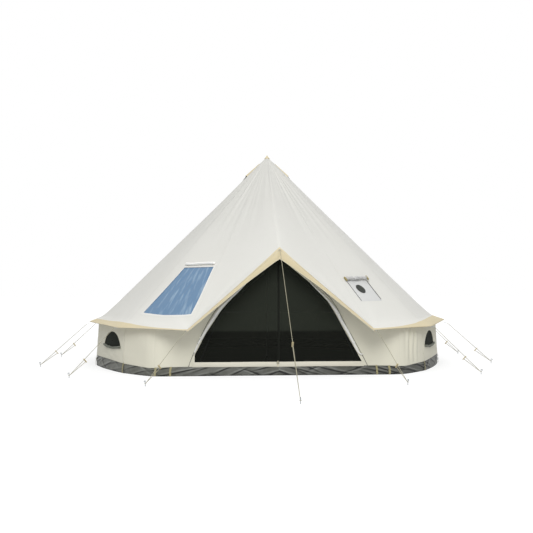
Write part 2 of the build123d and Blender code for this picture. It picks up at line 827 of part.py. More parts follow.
ropes = []
sliders = []
pegs = []
for run, way in zip(guy_runs, ring_ways):
    out = level_out(run)
    start = run[0] + way * ring_length + out * rope_start_gap
    catch = run[1] - out * (peg_radius + rope_radius) + Vector(0, 0, rope_catch_height)
    line = catch - start
    direction = line.normalized()
    down = direction.cross(out.cross(direction)).normalized()
    if down.Z > 0:
        down = -down
    middle = start + line * slider_share
    back = middle + down * slider_hole_gap
    with BuildPart() as loop:
        with BuildSketch(Plane(run[1] + Vector(0, 0, rope_catch_height - rope_radius))):
            RegularPolygon(peg_radius + 2 * rope_radius, bar_sides)
            RegularPolygon(peg_radius, bar_sides, mode=Mode.SUBTRACT)
        extrude(amount=2 * rope_radius)
    ropes.append(strand(start, catch) + strand(back, catch) + loop.part)
    slide = Plane(middle + down * slider_hole_gap / 2, x_dir=down, z_dir=direction)
    with BuildPart() as slider:
        with BuildSketch(slide.offset(-slider_thickness / 2)) as slider_sketch:
            Rectangle(slider_length, slider_width)
            chamfer(slider_sketch.vertices(), slider_width / 4)
            with Locations((-slider_hole_gap / 2, 0), (slider_hole_gap / 2, 0)):
                RegularPolygon(rope_radius + slider_clearance, bar_sides, mode=Mode.SUBTRACT)
        extrude(amount=slider_thickness)
    sliders.append(slider.part)
    top = run[1] + Vector(0, 0, peg_height)
    nose = top + out * peg_hook
    with BuildPart() as peg:
        with BuildLine():
            Polyline(run[1], top, nose, nose - Vector(0, 0, peg_hook))
        with BuildSketch(Plane(run[1])):
            RegularPolygon(peg_radius, bar_sides)
        sweep(transition=Transition.RIGHT)
    pegs.append(peg.part)

with BuildPart() as guy_ropes:
    add(ropes)
write(guy_ropes, "guy_ropes")
with BuildPart() as guy_sliders:
    add(sliders)
write(guy_sliders, "guy_sliders")
with BuildPart() as ground_pegs:
    add(pegs)
write(ground_pegs, "guy_pegs")
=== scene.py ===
"""A canvas bell tent, as cloth, netting, film, rope, wood and steel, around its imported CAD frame.

Metres throughout. The door looks along -Y, and Z is up. A turn is one gore: turn 0 is the middle
of the door, and turns grow towards +X.
"""
import bpy
import numpy as np
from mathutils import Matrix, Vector


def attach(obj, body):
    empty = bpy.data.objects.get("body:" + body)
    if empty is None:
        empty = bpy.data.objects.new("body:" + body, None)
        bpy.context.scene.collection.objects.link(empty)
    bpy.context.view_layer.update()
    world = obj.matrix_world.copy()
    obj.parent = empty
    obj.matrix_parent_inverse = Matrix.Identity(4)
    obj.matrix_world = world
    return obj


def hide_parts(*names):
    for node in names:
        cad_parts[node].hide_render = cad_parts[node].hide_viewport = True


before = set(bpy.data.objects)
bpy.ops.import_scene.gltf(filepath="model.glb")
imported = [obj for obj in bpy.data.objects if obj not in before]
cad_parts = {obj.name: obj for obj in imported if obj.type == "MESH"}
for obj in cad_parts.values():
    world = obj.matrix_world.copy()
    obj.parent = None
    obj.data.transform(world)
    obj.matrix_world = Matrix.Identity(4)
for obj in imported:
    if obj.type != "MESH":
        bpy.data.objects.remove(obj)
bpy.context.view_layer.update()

# ---- the tent's own sizes, as the frame has them ------------------------------------------
GORES = 14
GORE = 2 * np.pi / GORES
FLAT = np.cos(GORE / 2)               # a facet's middle over its corner
APEX = 3.045
CROWN = 0.030
BREAK_R, BREAK_Z = 2.424, 0.673       # where the roof flares into the valance
EAVE_R, EAVE_Z = 2.594, 0.583
GORE_WIDTH = 2 * EAVE_R * np.sin(GORE / 2)
RIDGE_Y, RIDGE_Z = 2.077, 1.555       # the dormer's peak
BASE_R, LEAN = 2.500, 0.06
TUB = 0.115                           # the groundsheet's upturned side
WALL_TOP = 0.66                       # about where a wall meets the roof
CORNER = 1.5                          # the front wall's corners, in turns
FRONT_Y = BASE_R * np.cos(CORNER * GORE)
FRONT_LEAN = LEAN * np.cos(CORNER * GORE)
SILL, DOOR_PEAK = 0.168, 1.434
SKY_TOP, SKY_BOTTOM = 1.680 / FLAT / EAVE_R, 2.272 / FLAT / EAVE_R
# The netting's edge on each side as the frame behind pulls it, from the foot over the knee to the
# peak, and the canvas door's zip a roll's width outside it.
NET_TOP = [(0.620, 0.915), (0.470, 1.072), (0.385, 1.158), (0.0, 1.476)]
NET_EDGE = {
    -1: np.array([(1.040, 0.168), (1.038, 0.262), (0.903, 0.520), (0.715, 0.805), *NET_TOP]),
    1: np.array([(1.042, 0.168), (1.006, 0.232), (0.871, 0.474), (0.698, 0.790), *NET_TOP])}
ZIP_TOP = [(0.655, 0.955), (0.41, 1.20)]
ZIP_LINE = {
    -1: [(1.112, 0.115), (1.100, 0.160), (1.066, 0.245), (0.987, 0.440), (0.881, 0.652),
         (0.768, 0.833), *ZIP_TOP],
    1: [(1.112, 0.115), (1.100, 0.143), (1.048, 0.245), (0.952, 0.425), (0.845, 0.618),
        (0.736, 0.830), *ZIP_TOP]}
# The tan facing of the eave: its width at steps from one corner of a gore to the next, wide where
# a guy pulls at the corner and narrow between. The dormer's halves have it at the peak only.
FACING_STEPS = np.array([0, 0.12, 0.26, 0.40, 0.54, 0.75, 1])
FACING = {
    0: [0.062, 0.062, 0.030, *[0.003] * 4], 13: [*[0.003] * 5, 0.030, 0.062],
    1: [0.034, 0.028, 0.028, 0.032, 0.048, 0.082, 0.150],
    2: [0.15, 0.15, 0.15, 0.155, 0.16, 0.165, 0.17],
    11: [0.10, 0.10, 0.105, 0.11, 0.115, 0.12, 0.132],
    12: [0.132, 0.102, 0.080, 0.054, 0.034, 0.025, 0.023]}
OTHER_FACING = [0.15, 0.10, 0.062, 0.045, 0.048, 0.082, 0.15]
EAVE_RUN = 2.9                        # metres of cloth for one unit of down, at the eave
# How much higher than the others some of the eave's corners stand, from their guys.
CORNER_LIFT = np.zeros(GORES)
CORNER_LIFT[[3, 4, 10, 11]] = 0.042, 0.016, 0.012, 0.030
CANVAS, WEBBING, TAPE, FILM = 0.003, 0.002, 0.0015, 0.001    # how thick each is drawn

# ---- camera -------------------------------------------------------------------------------
CAMERA_DISTANCE, CAMERA_HEIGHT, CAMERA_TURN = 11.215, 1.108, 0.075
LENS_MM, SENSOR_MM = 50.533734, 36
camera_data = bpy.data.cameras.new("camera")
camera = bpy.data.objects.new("camera", camera_data)
bpy.context.scene.collection.objects.link(camera)
bpy.context.scene.camera = camera
camera_data.lens, camera_data.sensor_width = LENS_MM, SENSOR_MM
camera_data.shift_x, camera_data.shift_y = -0.001, 0.0366
camera_data.clip_end = 200
camera.location = (
    -CAMERA_DISTANCE * np.sin(CAMERA_TURN), -CAMERA_DISTANCE * np.cos(CAMERA_TURN), CAMERA_HEIGHT)
camera.rotation_euler = (np.pi / 2, 0, -CAMERA_TURN)


# ---- mesh makers --------------------------------------------------------------------------
def noise(u, v, seed, octaves=3):
    """Smooth values from about -1 to 1 on any grid: sums of sine waves that run in random
    directions, each octave twice as fine and half as strong."""
    rng = np.random.default_rng(seed)
    total = np.zeros(np.broadcast(u, v).shape)
    for octave in range(octaves):
        for _ in range(5):
            angle, phase = rng.uniform(0, 2 * np.pi, 2)
            wave = 2 ** octave * rng.uniform(0.7, 1.3)
            way = u * np.cos(angle) + v * np.sin(angle)
            total += np.sin(wave * way * 2 * np.pi + phase) / 2 ** octave
    return total / 5


def ramp(value, start, length):
    """0 up to the start, 1 from a length beyond it, and a straight line between."""
    return np.clip((value - start) / length, 0, 1)


def bell(value, middle, width):
    """A bell curve of height 1."""
    return np.exp(-((value - middle) / width) ** 2)


def paired(*values):
    """Arrays broadcast together as the coordinates of points."""
    return np.stack(np.broadcast_arrays(*values), -1)


def around(turn, radius, height):
    """The point at a turn, a distance from the pole and a height."""
    return paired(radius * np.sin(turn * GORE), -radius * np.cos(turn * GORE), height)


def shares(count):
    """Evenly spaced numbers from 0 to 1."""
    return np.linspace(0, 1, count)


def grid(rows, columns):
    """Both values at each point of a grid."""
    return np.meshgrid(rows, columns, indexing="ij")


def ring(part):
    """A grid whose first column comes again as its last."""
    return np.concatenate([part, part[:, :1]], 1)


def smoothed(values, reach, **edge):
    """The running mean, over a reach on both sides."""
    window = np.ones(2 * reach + 1) / (2 * reach + 1)
    return np.convolve(np.pad(values, reach, **edge), window, "valid")


def polyline(points, share):
    """Points at shares 0 to 1 of a bent line's length."""
    points = np.asarray(points, float)
    length = np.r_[0, np.cumsum(np.linalg.norm(np.diff(points, axis=0), axis=1))]
    return np.stack([np.interp(np.asarray(share) * length[-1], length, points[:, k])
                     for k in range(points.shape[1])], -1)


def grid_mesh(name, sheets, finish, maps=None, closed=False, hole=None, merge=0, thick=0, side=-1):
    """One mesh from a list of grids of points, each a function of two parameters. Neighbours in a
    grid are joined by four-sided faces, closed joins the last column to the first, and a hole is
    the number of a grid and the faces that it leaves out. maps are the same grids in metres along
    the cloth. Points nearer than merge are joined, as at seams and poles. thick is a sheet's
    thickness, inwards unless side says otherwise. Its shading follows the wide faces, so that two
    cloths that meet edge to edge show no groove there."""
    faces, start = [], 0
    for number, sheet in enumerate(sheets):
        rows, cols = sheet.shape[:2]
        index = start + np.arange(rows * cols).reshape(rows, cols)
        if closed:
            index = ring(index)
        quads = np.stack([index[:-1, :-1], index[1:, :-1], index[1:, 1:], index[:-1, 1:]], -1)
        keep = np.ones(quads.shape[:2], bool)
        if hole and hole[0] == number:
            keep[hole[1]] = False
        faces.append(quads[keep])
        start += rows * cols
    faces = np.concatenate(faces)
    mesh = bpy.data.meshes.new(name)
    mesh.from_pydata(np.concatenate([sheet.reshape(-1, 3) for sheet in sheets]), [], faces)
    flat = np.concatenate([m.reshape(-1, 2) for m in maps]) if maps else np.zeros((start, 2))
    layer = mesh.uv_layers.new(name="cloth")
    layer.data.foreach_set("uv", flat[faces.ravel()].ravel().astype(np.float32))
    mesh.validate()
    piece = bpy.data.objects.new(name, mesh)
    bpy.context.scene.collection.objects.link(piece)
    mesh.polygons.foreach_set("use_smooth", np.ones(len(mesh.polygons), bool))
    mesh.materials.append(finish)
    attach(piece, "root")
    if merge:
        piece.modifiers.new("weld", "WELD").merge_threshold = merge
    if thick:
        step = piece.modifiers.new("thickness", "SOLIDIFY")
        step.thickness, step.offset = thick, side
        piece.modifiers.new("wide_faces_lead", "WEIGHTED_NORMAL")
    return piece


def swept(path, radius, corners, rumple=None):
    """A round profile carried along a path: each point of the path gets a ring of that radius,
    square to the path, and the rings at both ends close to a point. rumple(along, round)
    multiplies the radius."""
    ahead = np.gradient(path, axis=0)
    ahead /= np.linalg.norm(ahead, axis=1, keepdims=True)
    guide = np.where(np.abs(ahead[:, 2:]) > 0.9, [[1.0, 0, 0]], [[0, 0, 1.0]])
    side = np.cross(ahead, guide)
    side /= np.linalg.norm(side, axis=1, keepdims=True)
    up = np.cross(side, ahead)
    turn = np.linspace(0, 2 * np.pi, corners, endpoint=False)
    r = np.broadcast_to(np.asarray(radius, float), len(path))[:, None] * np.ones(corners)
    if rumple:
        r = r * rumple(np.linspace(0, 1, len(path))[:, None], turn[None])
    spokes = side[:, None] * np.cos(turn)[:, None] + up[:, None] * np.sin(turn)[:, None]
    tube = path[:, None] + spokes * r[..., None]
    ends = [np.repeat(path[i][None, None], corners, 1) for i in (0, -1)]
    return np.concatenate([ends[0], tube, ends[1]])


def rolled(name, paths, radius, finish, seed, corners, rough=0.16):
    """Cloth rolled up along a path: a swept tube whose rings dip and swell at random and where its
    layers overlap, with creases that wind round it."""
    sheets, maps = [], []
    for k, path in enumerate(paths):
        def rumple(along, turn, k=k):
            wind = noise(along * 3 + turn / 9, np.sin(turn) * 0.3 + k, seed)
            lap = bell(np.mod(turn + 0.6 - along * 0.5, 2 * np.pi), 1.0, 0.25)
            return 1 + rough * wind + 0.10 * lap - 0.05
        sheets.append(swept(path, radius, corners, rumple))
        maps.append(paired(np.linspace(0, 2 * np.pi * 0.02, corners),
                           shares(len(path) + 2)[:, None]))
    return grid_mesh(name, sheets, finish, maps, closed=True)


# ---- materials ----------------------------------------------------------------------------
def colour(code):
    """An sRGB hex value as linear red, green, blue and alpha."""
    s = np.array([int(code[k:k + 2], 16) for k in (1, 3, 5)]) / 255
    linear = np.where(s <= 0.04045, s / 12.92, ((s + 0.055) / 1.055) ** 2.4)
    return (*map(float, linear), 1.0)


def node(material, kind, settings=None, **links):
    """Adds a shader node. settings sets its properties, or its sockets where a key is a socket's
    name or number; links joins sockets, by name with underscores for spaces, to other outputs."""
    made = material.node_tree.nodes.new("ShaderNode" + kind)
    for key, value in (settings or {}).items():
        if isinstance(key, str) and hasattr(made, key):
            setattr(made, key, value)
        else:
            made.inputs[key].default_value = value
    for key, source in links.items():
        place = int(key[1:]) if key[0] == "_" else key.replace("_", " ")
        material.node_tree.links.new(source, made.inputs[place])
    return made


def new_material(name):
    """A material with no nodes yet."""
    material = bpy.data.materials.new(name)
    material.use_nodes = True
    material.node_tree.nodes.clear()
    return material


def object_place(material):
    """The place on the object, in metres."""
    return node(material, "TexCoord").outputs["Object"]


def cloth_place(material):
    """The place on the cloth's own map, in metres."""
    return node(material, "UVMap", {"uv_map": "cloth"}).outputs[0]


def patches(material, place, scale, detail, roughness=0.5):
    """Random soft patches, from 0 to 1."""
    return node(material, "TexNoise", {
        "Scale": scale, "Detail": detail, "Roughness": roughness}, Vector=place).outputs["Fac"]


def remapped(material, value, low, high, start, end):
    """A value that goes from start to end while the one it follows goes from low to high."""
    return node(material, "MapRange", {1: low, 2: high, 3: start, 4: end},
                _0=value).outputs[0]


def blended(material, share, first, second, blend="MIX"):
    """The second colour laid over the first by a share. Each is a hex value or an output."""
    settings, links = {"data_type": "RGBA", "blend_type": blend}, {}
    for socket, given in ((0, share), (6, first), (7, second)):
        if isinstance(given, bpy.types.NodeSocket):
            links[f"_{socket}"] = given
        else:
            settings[socket] = colour(given) if isinstance(given, str) else given
    return node(material, "Mix", settings, **links).outputs[2]


def darkened(material, shade, axis, place, *fade):
    """A colour multiplied by a factor that changes along an axis."""
    along = node(material, "SeparateXYZ", None, Vector=place).outputs[axis]
    return blended(material, 1.0, shade, remapped(material, along, *fade), "MULTIPLY")


def finished(material, base, relief, strength, depth, settings):
    """Ends a material: its principled surface, with a relief from a height, on the output."""
    bump = node(material, "Bump", {"Strength": strength, "Distance": depth}, Height=relief)
    surface = node(material, "BsdfPrincipled", settings,
                   Base_Color=base, Normal=bump.outputs[0])
    node(material, "OutputMaterial", None, Surface=surface.outputs[0])
    return material


WAVE_BANDS = 3.18                     # a wave texture's bands in a metre at a scale of 1


def cloth_material(name, base, dark, thread_mm=4.0, roughness=0.9, stain_and_shade=0.5, fade=None):
    """Woven cloth: two sets of threads crossing on the piece's cloth map, slow patches that darken
    it, which are weathering on most cloths and painted shade in the folds of the rolled stove flap,
    and fine fibres that roughen it. fade takes the height from low to high and the cloth's
    brightness with it: on the roof and its seams this is painted light and shade, brightest at the
    eave and darker towards the peak."""
    material = new_material(name)
    place, uv = object_place(material), cloth_place(material)
    threads = [node(material, "TexWave", {
        "wave_type": "BANDS", "bands_direction": way, "Scale": 500 / thread_mm / WAVE_BANDS,
        "Distortion": 0.6, "Detail": 1.0, "Detail Scale": 2.0}, Vector=uv).outputs["Fac"]
        for way in "XY"]
    weave = node(material, "Math", {"operation": "MAXIMUM"},
                 _0=threads[0], _1=threads[1]).outputs[0]
    slow = patches(material, place, 1.3, 4.0, 0.55)
    shade = blended(material, remapped(material, slow, 0.35, 0.75, 0.0, stain_and_shade), base, dark)
    gaps = remapped(material, weave, 0.0, 1.0, 0.94, 1.0)
    shade = blended(material, 1.0, shade, gaps, "MULTIPLY")
    # painted light and shade: the colour brightens or darkens with height
    if fade:
        shade = darkened(material, shade, "Z", place, *fade)
    height = node(material, "Math", {"operation": "MULTIPLY_ADD", 1: 0.35},
                  _0=patches(material, place, 60.0, 3.0), _2=weave)
    return finished(material, shade, height.outputs[0], 0.25, thread_mm / 2000, {
        "Roughness": roughness, "Sheen Weight": 0.15, "Sheen Roughness": 0.5,
        "Specular IOR Level": 0.25})


# Painted light and shade on the roof: its colour is brightest at the eave and darker towards the
# peak, by height.
ROOF_PAINTED_LIGHT = (0.6, 2.3, 1.04, 0.89)
# Cotton canvas, 285 g a square metre, plain woven and proofed: matt, warm grey-white, with a soft
# bloom at a low angle. Its threads lie 0.6 mm apart, too fine to show, so they are drawn at 4 mm.
roof_canvas = cloth_material(
    "proofed_cotton_canvas_roof", "#dfded8", "#d6d5cd", stain_and_shade=0.3, fade=ROOF_PAINTED_LIGHT)
# The same canvas on the walls, as a lit copy of the roof's: painted light makes it more beige and
# paler, for walls that the lamps light less.
wall_canvas = cloth_material("proofed_cotton_canvas_wall", "#e6e3d2", "#d9d5c1", stain_and_shade=0.35)
# Heavier dyed canvas of the trims: sand-coloured, close woven at 0.8 mm, drawn at 5 mm.
tan_canvas = cloth_material("dyed_cotton_canvas_trim", "#dacdab", "#cfc29d", 5.0, roughness=0.85)
# The felled roof seams: two more layers of the canvas, a little greyer with dust, and with the
# roof's painted light and shade by height.
seam_canvas = cloth_material("felled_canvas_seam", "#dcdbd5", "#d2d1c9", fade=ROOF_PAINTED_LIGHT)
# Folded cotton binding on the cut edges: cream, closer woven than the cloth it holds.
piping_canvas = cloth_material("cotton_binding", "#e4dcc2", "#d8cfb0", 3.0)
# Woven polypropylene webbing: olive-cream, 22 mm wide, its ribs 3 mm apart.
strap_webbing = cloth_material("polypropylene_webbing", "#aaa37e", "#8d8763", 3.0)
# Undyed canvas of the sill: cream, as the walls but cleaner.
sill_canvas = cloth_material("bleached_canvas_sill", "#e3dfcf", "#d8d3c1")
# The inner side of the rolled door and skylight cover, which the sun never reached: near white.
flap_canvas = cloth_material("canvas_inner_side", "#faf9f5", "#f1efe9")
# White cotton tape round the skylight, 30 mm wide.
piping_white = cloth_material("white_cotton_tape", "#e9e8e3", "#dedcd5", 3.0)
# Coated canvas of the stove jack's panel: light grey and smoother than the roof's.
stove_cloth = cloth_material("coated_canvas_stove_panel", "#d7d7d5", "#cdcdcb")
# The stove flap's rolled inner side: the same cloth, with grey patches that are painted shade for
# its folds.
crumpled_cloth = cloth_material("coated_canvas_rolled", "#dedddb", "#a9aaa9", stain_and_shade=1.0)
# The window covers' inner side, rolled: their canvas painted a dark grey, which is painted shade.
vent_roll_canvas = cloth_material("vent_cover_canvas_painted_shade", "#777a6e", "#62655a")


def plain_material(name, base, dark, roughness, grain, bump, bump_mm=0.5, metallic=0.0,
                   stretch=(1, 1, 1), specular=0.5):
    """A solid finish whose grain varies its colour and relief, on the piece's own place."""
    material = new_material(name)
    turned = node(material, "Mapping", {"Scale": stretch},
                  Vector=object_place(material)).outputs[0]
    relief = patches(material, turned, grain, 5.0, 0.6)
    shade = blended(material, remapped(material, relief, 0.35, 0.65, 0.0, 1.0), base, dark)
    return finished(material, shade, relief, bump, bump_mm / 1000, {
        "Roughness": roughness, "Metallic": metallic, "Specular IOR Level": specular})


# Hot-dip galvanised steel tube: dull silver with large faint spangles, about 10 mm wide.
galvanised = plain_material(
    "galvanised_steel", "#b4b8ba", "#9da2a5", 0.38, 90.0, 0.05, metallic=1.0)
# Black polypropylene mouldings: satin, with a fine pebbled skin.
black_moulding = plain_material("moulded_polypropylene", "#1b1c1c", "#232424", 0.45, 600.0, 0.15)
# Turned beech: pale honey, its grain running with the bar.
beech = plain_material("turned_beech", "#c9bb92", "#b3a377", 0.55, 40.0, 0.1, stretch=(1, 6, 6))
# The toggles are the same wood, stained olive by weather.
toggle_beech = plain_material(
    "weathered_beech", "#a99b63", "#6f6236", 0.6, 40.0, 0.2, stretch=(6, 6, 1))
# Laid polyester rope, 6 mm thick: weathered grey-cream, its strands 3 mm apart.
guy_rope = plain_material("laid_polyester_rope", "#b3ae97", "#8f8a74", 0.8, 300.0, 0.5, bump_mm=1)
# Silicone-rubbered glass cloth where the stove's pipe goes through: charcoal and matt.
heat_cloth = plain_material(
    "silicone_glass_cloth", "#363835", "#454743", 0.7, 120.0, 0.2, specular=0.15)
# Coil zip on black tape, 26 mm wide: a matt dark line.
zip_tape = plain_material("nylon_zip_tape", "#1b1d19", "#22241f", 0.8, 400.0, 0.3, specular=0.1)
# The canvas door's zip, its tape faded to a warm grey.
side_zip_tape = plain_material("faded_zip_tape", "#6e6c64", "#5c5a52", 0.7, 400.0, 0.3)
# Nylon zip coil and pull: a satin black cord of fine turns.
coil_nylon = plain_material("nylon_zip_coil", "#151713", "#1c1e1a", 0.8, 500.0, 0.4, specular=0.1)


def groundsheet_material():
    """Reinforced PVC sheet: mid grey, faintly glossy and a little muddy. Its crease attribute, from
    -1 on a fold's crest to 1 in a deep crease, takes it from pale to near black: a painted
    highlight on the crests and painted shade in the creases. It is also paler towards -X and darker
    towards +X."""
    material = new_material("reinforced_pvc_groundsheet")
    place = object_place(material)
    crease = node(material, "Attribute", {"attribute_name": "crease"}).outputs["Fac"]
    mud = patches(material, place, 7.0, 5.0, 0.6)
    shade = blended(material, remapped(material, mud, 0.35, 0.65, 0.0, 1.0), "#686964", "#53544c")
    # painted highlight on the fold crests
    shade = blended(material, remapped(material, crease, 0.0, -1.0, 0.0, 0.6), shade, "#9b9c97")
    # painted shade, near black, in the creases and where the sheet tucks under
    shade = blended(material, remapped(material, crease, 0.0, 0.7, 0.0, 0.95), shade, "#11120f")
    # paler towards -X and darker towards +X, by a factor from 1.28 to 0.72
    shade = darkened(material, shade, "X", place, -2.0, 1.6, 1.28, 0.72)
    return finished(material, shade, mud, 0.3, 0.006, {"Roughness": 0.5, "Specular IOR Level": 0.3})


def netting_material(name, upper, upper_light, lower):
    """Fibreglass insect netting, coated charcoal: threads 1.4 mm apart let a tenth of the light
    through, so it looks near black with the inside faintly showing. Below the wall's top its colour
    is painted darker still: painted shade for the dark walls and groundsheet behind it."""
    material = new_material(name)
    height = node(material, "SeparateXYZ", None, _0=object_place(material)).outputs["Z"]
    soft = patches(material, cloth_place(material), 2.2, 2.0)
    shade = blended(material, soft, upper, upper_light)
    # painted shade: darker below about 0.55 m high
    shade = blended(material, remapped(material, height, 0.565, 0.535, 0.0, 1.0), shade, lower)
    thread = node(material, "BsdfPrincipled", {
        "Roughness": 0.85, "Specular IOR Level": 0.15}, Base_Color=shade)
    clear = node(material, "BsdfTransparent")
    both = node(material, "MixShader", {0: 0.10}, _1=thread.outputs[0], _2=clear.outputs[0])
    node(material, "OutputMaterial", None, Surface=both.outputs[0])
    return material


def film_material():
    """Soft clear PVC film, tinted blue: glossy, and a little see-through, with slanting pale
    streaks about 70 mm wide and 0.4 m long painted into its colour: painted reflections of the sky
    in its creases."""
    material = new_material("clear_pvc_film")
    turned = node(material, "Mapping", {
        "vector_type": "TEXTURE", "Rotation": (0, 0, -0.22), "Scale": (0.30, 1.6, 1)},
        Vector=cloth_place(material))
    streak = patches(material, turned.outputs[0], 4.2, 3.0, 0.55)
    # painted reflection: the share of the pale streaks
    share = remapped(material, streak, 0.50, 0.80, 0.0, 1.0)
    return finished(material, blended(material, share, "#6488aa", "#a6bfd3"), streak, 0.4, 0.01, {
        "Roughness": 0.12, "IOR": 1.5, "Alpha": 0.9})


groundsheet_pvc = groundsheet_material()
# the door's netting gets the painted shade below the wall's top; the vents' netting keeps one
# colour
netting = netting_material("coated_insect_netting", "#23261f", "#2b2f28", "#12140f")
vent_netting = netting_material("coated_insect_netting_vents", "#272b25", "#2f332c", "#272b25")
clear_film = film_material()


# ---- roof cloth ---------------------------------------------------------------------------
ROOF_FALL = (APEX - BREAK_Z) / BREAK_R
VALANCE_FALL = (BREAK_Z - EAVE_Z) / (EAVE_R - BREAK_R)


def seam_height(radius):
    """The higher of the roof's pitch and the valance's pitch, rounded where they cross."""
    roof = APEX - ROOF_FALL * radius
    valance = EAVE_Z + VALANCE_FALL * (EAVE_R - radius)
    return (roof + valance) / 2 + np.sqrt((roof - valance) ** 2 / 4 + 0.006 ** 2)


def edge_line(number, down):
    """A gore's edge, down going from 0 at the apex to 1 at the eave: a seam runs straight out on
    its bearing, and edge 0 is the dormer's ridge."""
    number, down = np.broadcast_arrays(np.mod(number, GORES), down)
    radius = EAVE_R * down
    lift = CORNER_LIFT[number.astype(int)] * np.clip((down - 0.80) / 0.20, 0, 1.01) ** 2
    seam = around(number, radius, seam_height(radius) + lift)
    ridge = paired(0 * down, -RIDGE_Y * down, APEX - (APEX - RIDGE_Z) * down)
    return np.where((number == 0)[..., None], ridge, seam)


def gore_point(number, across, down):
    """A gore is ruled straight across between its two edges."""
    left = edge_line(number + 0 * across, down)
    right = edge_line(number + 1 + 0 * across, down)
    return left + (right - left) * across[..., None]


def gore_normal(number, across, down):
    """The ruled gore's normal: the cross product of short steps down and across it."""
    step = 1e-4
    steps = [gore_point(number, across + sign * (1 - axis) * step, down + sign * axis * step)
             for axis in (0, 1) for sign in (1, -1)]
    normal = np.cross(steps[2] - steps[3], steps[0] - steps[1])
    return normal / np.maximum(np.linalg.norm(normal, axis=-1, keepdims=True), 1e-12)


def seam_bends():
    """The tangent of half the angle at which the gores meet on each seam, negative in a valley."""
    number, half = np.arange(GORES), np.full(GORES, 0.5)
    before, after = gore_normal(number - 1, half, half), gore_normal(number, half, half)
    apart = gore_point(number, half, half) - gore_point(number - 1, half, half)
    sign = np.sign((apart * (after - before)).sum(-1))
    return sign * np.tan(np.arccos(np.clip((before * after).sum(-1), -1, 1)) / 2)


# The dormer's ridge stays nearly a sharp crease, and the other seams are rounded over.
SEAM_BEND = seam_bends() * np.where(np.arange(GORES) == 0, 0.16, 1.0)


def roof_relief(number, across, down):
    """How far the cloth stands out of the ruled surface, in metres: it hollows between the seams,
    rounds over them, puckers near the crown where the gores crowd together, and pulls in soft folds
    towards the corners that the guys stretch."""
    middle = 4 * across * (1 - across)
    swell = np.sin(np.pi * np.clip(down, 0, 1))
    hollow = -0.004 * middle * swell ** 0.7
    east, south = np.sin((number + across) * GORE), np.cos((number + across) * GORE)
    pucker = 0.0075 * noise(east * 7.5, south * 7.5 + down * 0.5, 3, 2) * bell(down, 0.28, 0.22)
    slow = 0.004 * noise(east * 1.3, south * 1.3 + down * 1.4, 5) * swell
    near = np.minimum(across, 1 - across)
    fan = np.arctan2(near * 1.1, np.maximum(1.0 - down, 1e-3) * 2.6)
    pull = 0.004 * np.sin(9 * fan + number) * bell(down, 1, 0.16) * middle
    width = GORE_WIDTH * np.maximum(down, 1e-3)
    bend = SEAM_BEND[np.mod(np.where(across < 0.5, number, number + 1), GORES)]
    reach = np.minimum(0.17, 0.42 * width)
    rounding = np.clip(1 - near * width / reach, 0, 1) ** 2 * np.clip((0.985 - down) / 0.07, 0, 1)
    return hollow + pucker + slow + pull - bend * reach / 2 * rounding


def roof_surface(number, across, down, lift=0.0):
    """The roof cloth's outer face: the ruled gore, plus its relief and a lift along the normal.
    Next to a seam the normal turns to the mean of both gores', so that their edges meet."""
    normal = gore_normal(number, across, down)
    left = across < 0.5
    mean = gore_normal(number, np.where(left, 0.0, 1.0), down) + gore_normal(
        np.where(left, number - 1, number + 1), np.where(left, 1.0, 0.0), down)
    share = np.clip(1 - np.minimum(across, 1 - across) / 0.12, 0, 1)[..., None]
    mean /= np.linalg.norm(mean, axis=-1, keepdims=True)
    normal = normal * (1 - share) + mean * share
    normal /= np.linalg.norm(normal, axis=-1, keepdims=True)
    relief = roof_relief(number, across, down) + lift
    return gore_point(number, across, down) + normal * relief[..., None]


def half_width(down):
    """Half the width of a gore."""
    return down * EAVE_R * FLAT * np.tan(GORE / 2)


# A gore's columns gather in three bands, so that two of the lines between them are the skylight's
# sides on the gore that has it.
COLUMNS = (5, 18, 5)
ROWS = np.concatenate([
    np.linspace(CROWN / EAVE_R, SKY_TOP, 46)[:-1], np.linspace(SKY_TOP, SKY_BOTTOM, 20)[:-1],
    np.linspace(SKY_BOTTOM, 1, 18)])
SKY_GORE = 12
SKY_REAR = (0.265, 0.142)             # across the gore, at the skylight's top and bottom
SKY_CELLS = ((ROWS[:-1] > SKY_TOP - 1e-6) & (ROWS[:-1] < SKY_BOTTOM - 1e-6),
             slice(COLUMNS[0], COLUMNS[0] + COLUMNS[1]))


def sky_front(length):
    """The skylight's front edge across the gore, by its length share: straight but for a bow."""
    return 0.916 + 0.006 * length + 0.010 * np.sin(np.pi * length ** 1.5)


def sky_bow(across, down):
    """How much lower the skylight's bottom edge hangs in its middle than at its corners."""
    return 0.009 * np.clip(1 - ((across - 0.55) / 0.40) ** 2, 0, 1) * bell(down, SKY_BOTTOM, 0.05)


def gore_grid(number):
    """The grid of one gore, across it and down it."""
    front = sky_front(ramp(ROWS, SKY_TOP, SKY_BOTTOM - SKY_TOP))
    edges = [0 * ROWS, np.interp(ROWS, [SKY_TOP, SKY_BOTTOM], SKY_REAR), front, 1 + 0 * ROWS]
    bands = [edges[0][:, None]]
    for low, high, count in zip(edges[:-1], edges[1:], COLUMNS):
        bands.append(low[:, None] + shares(count + 1)[1:] * (high - low)[:, None])
    across, down = np.concatenate(bands, axis=1), ROWS[:, None]
    return across, down + (sky_bow(across, down) if number == SKY_GORE else 0 * across)


GORE_CUT = (1.16, 3.35)               # a gore's width at the eave and its length
GORE_SPACING = 1.3                    # from gore to gore on the cloth's map


def gore_map(number, across, down):
    """Metres across and down the gore, for the weave."""
    return paired((across - 0.5) * GORE_CUT[0] * down + number * GORE_SPACING, down * GORE_CUT[1])


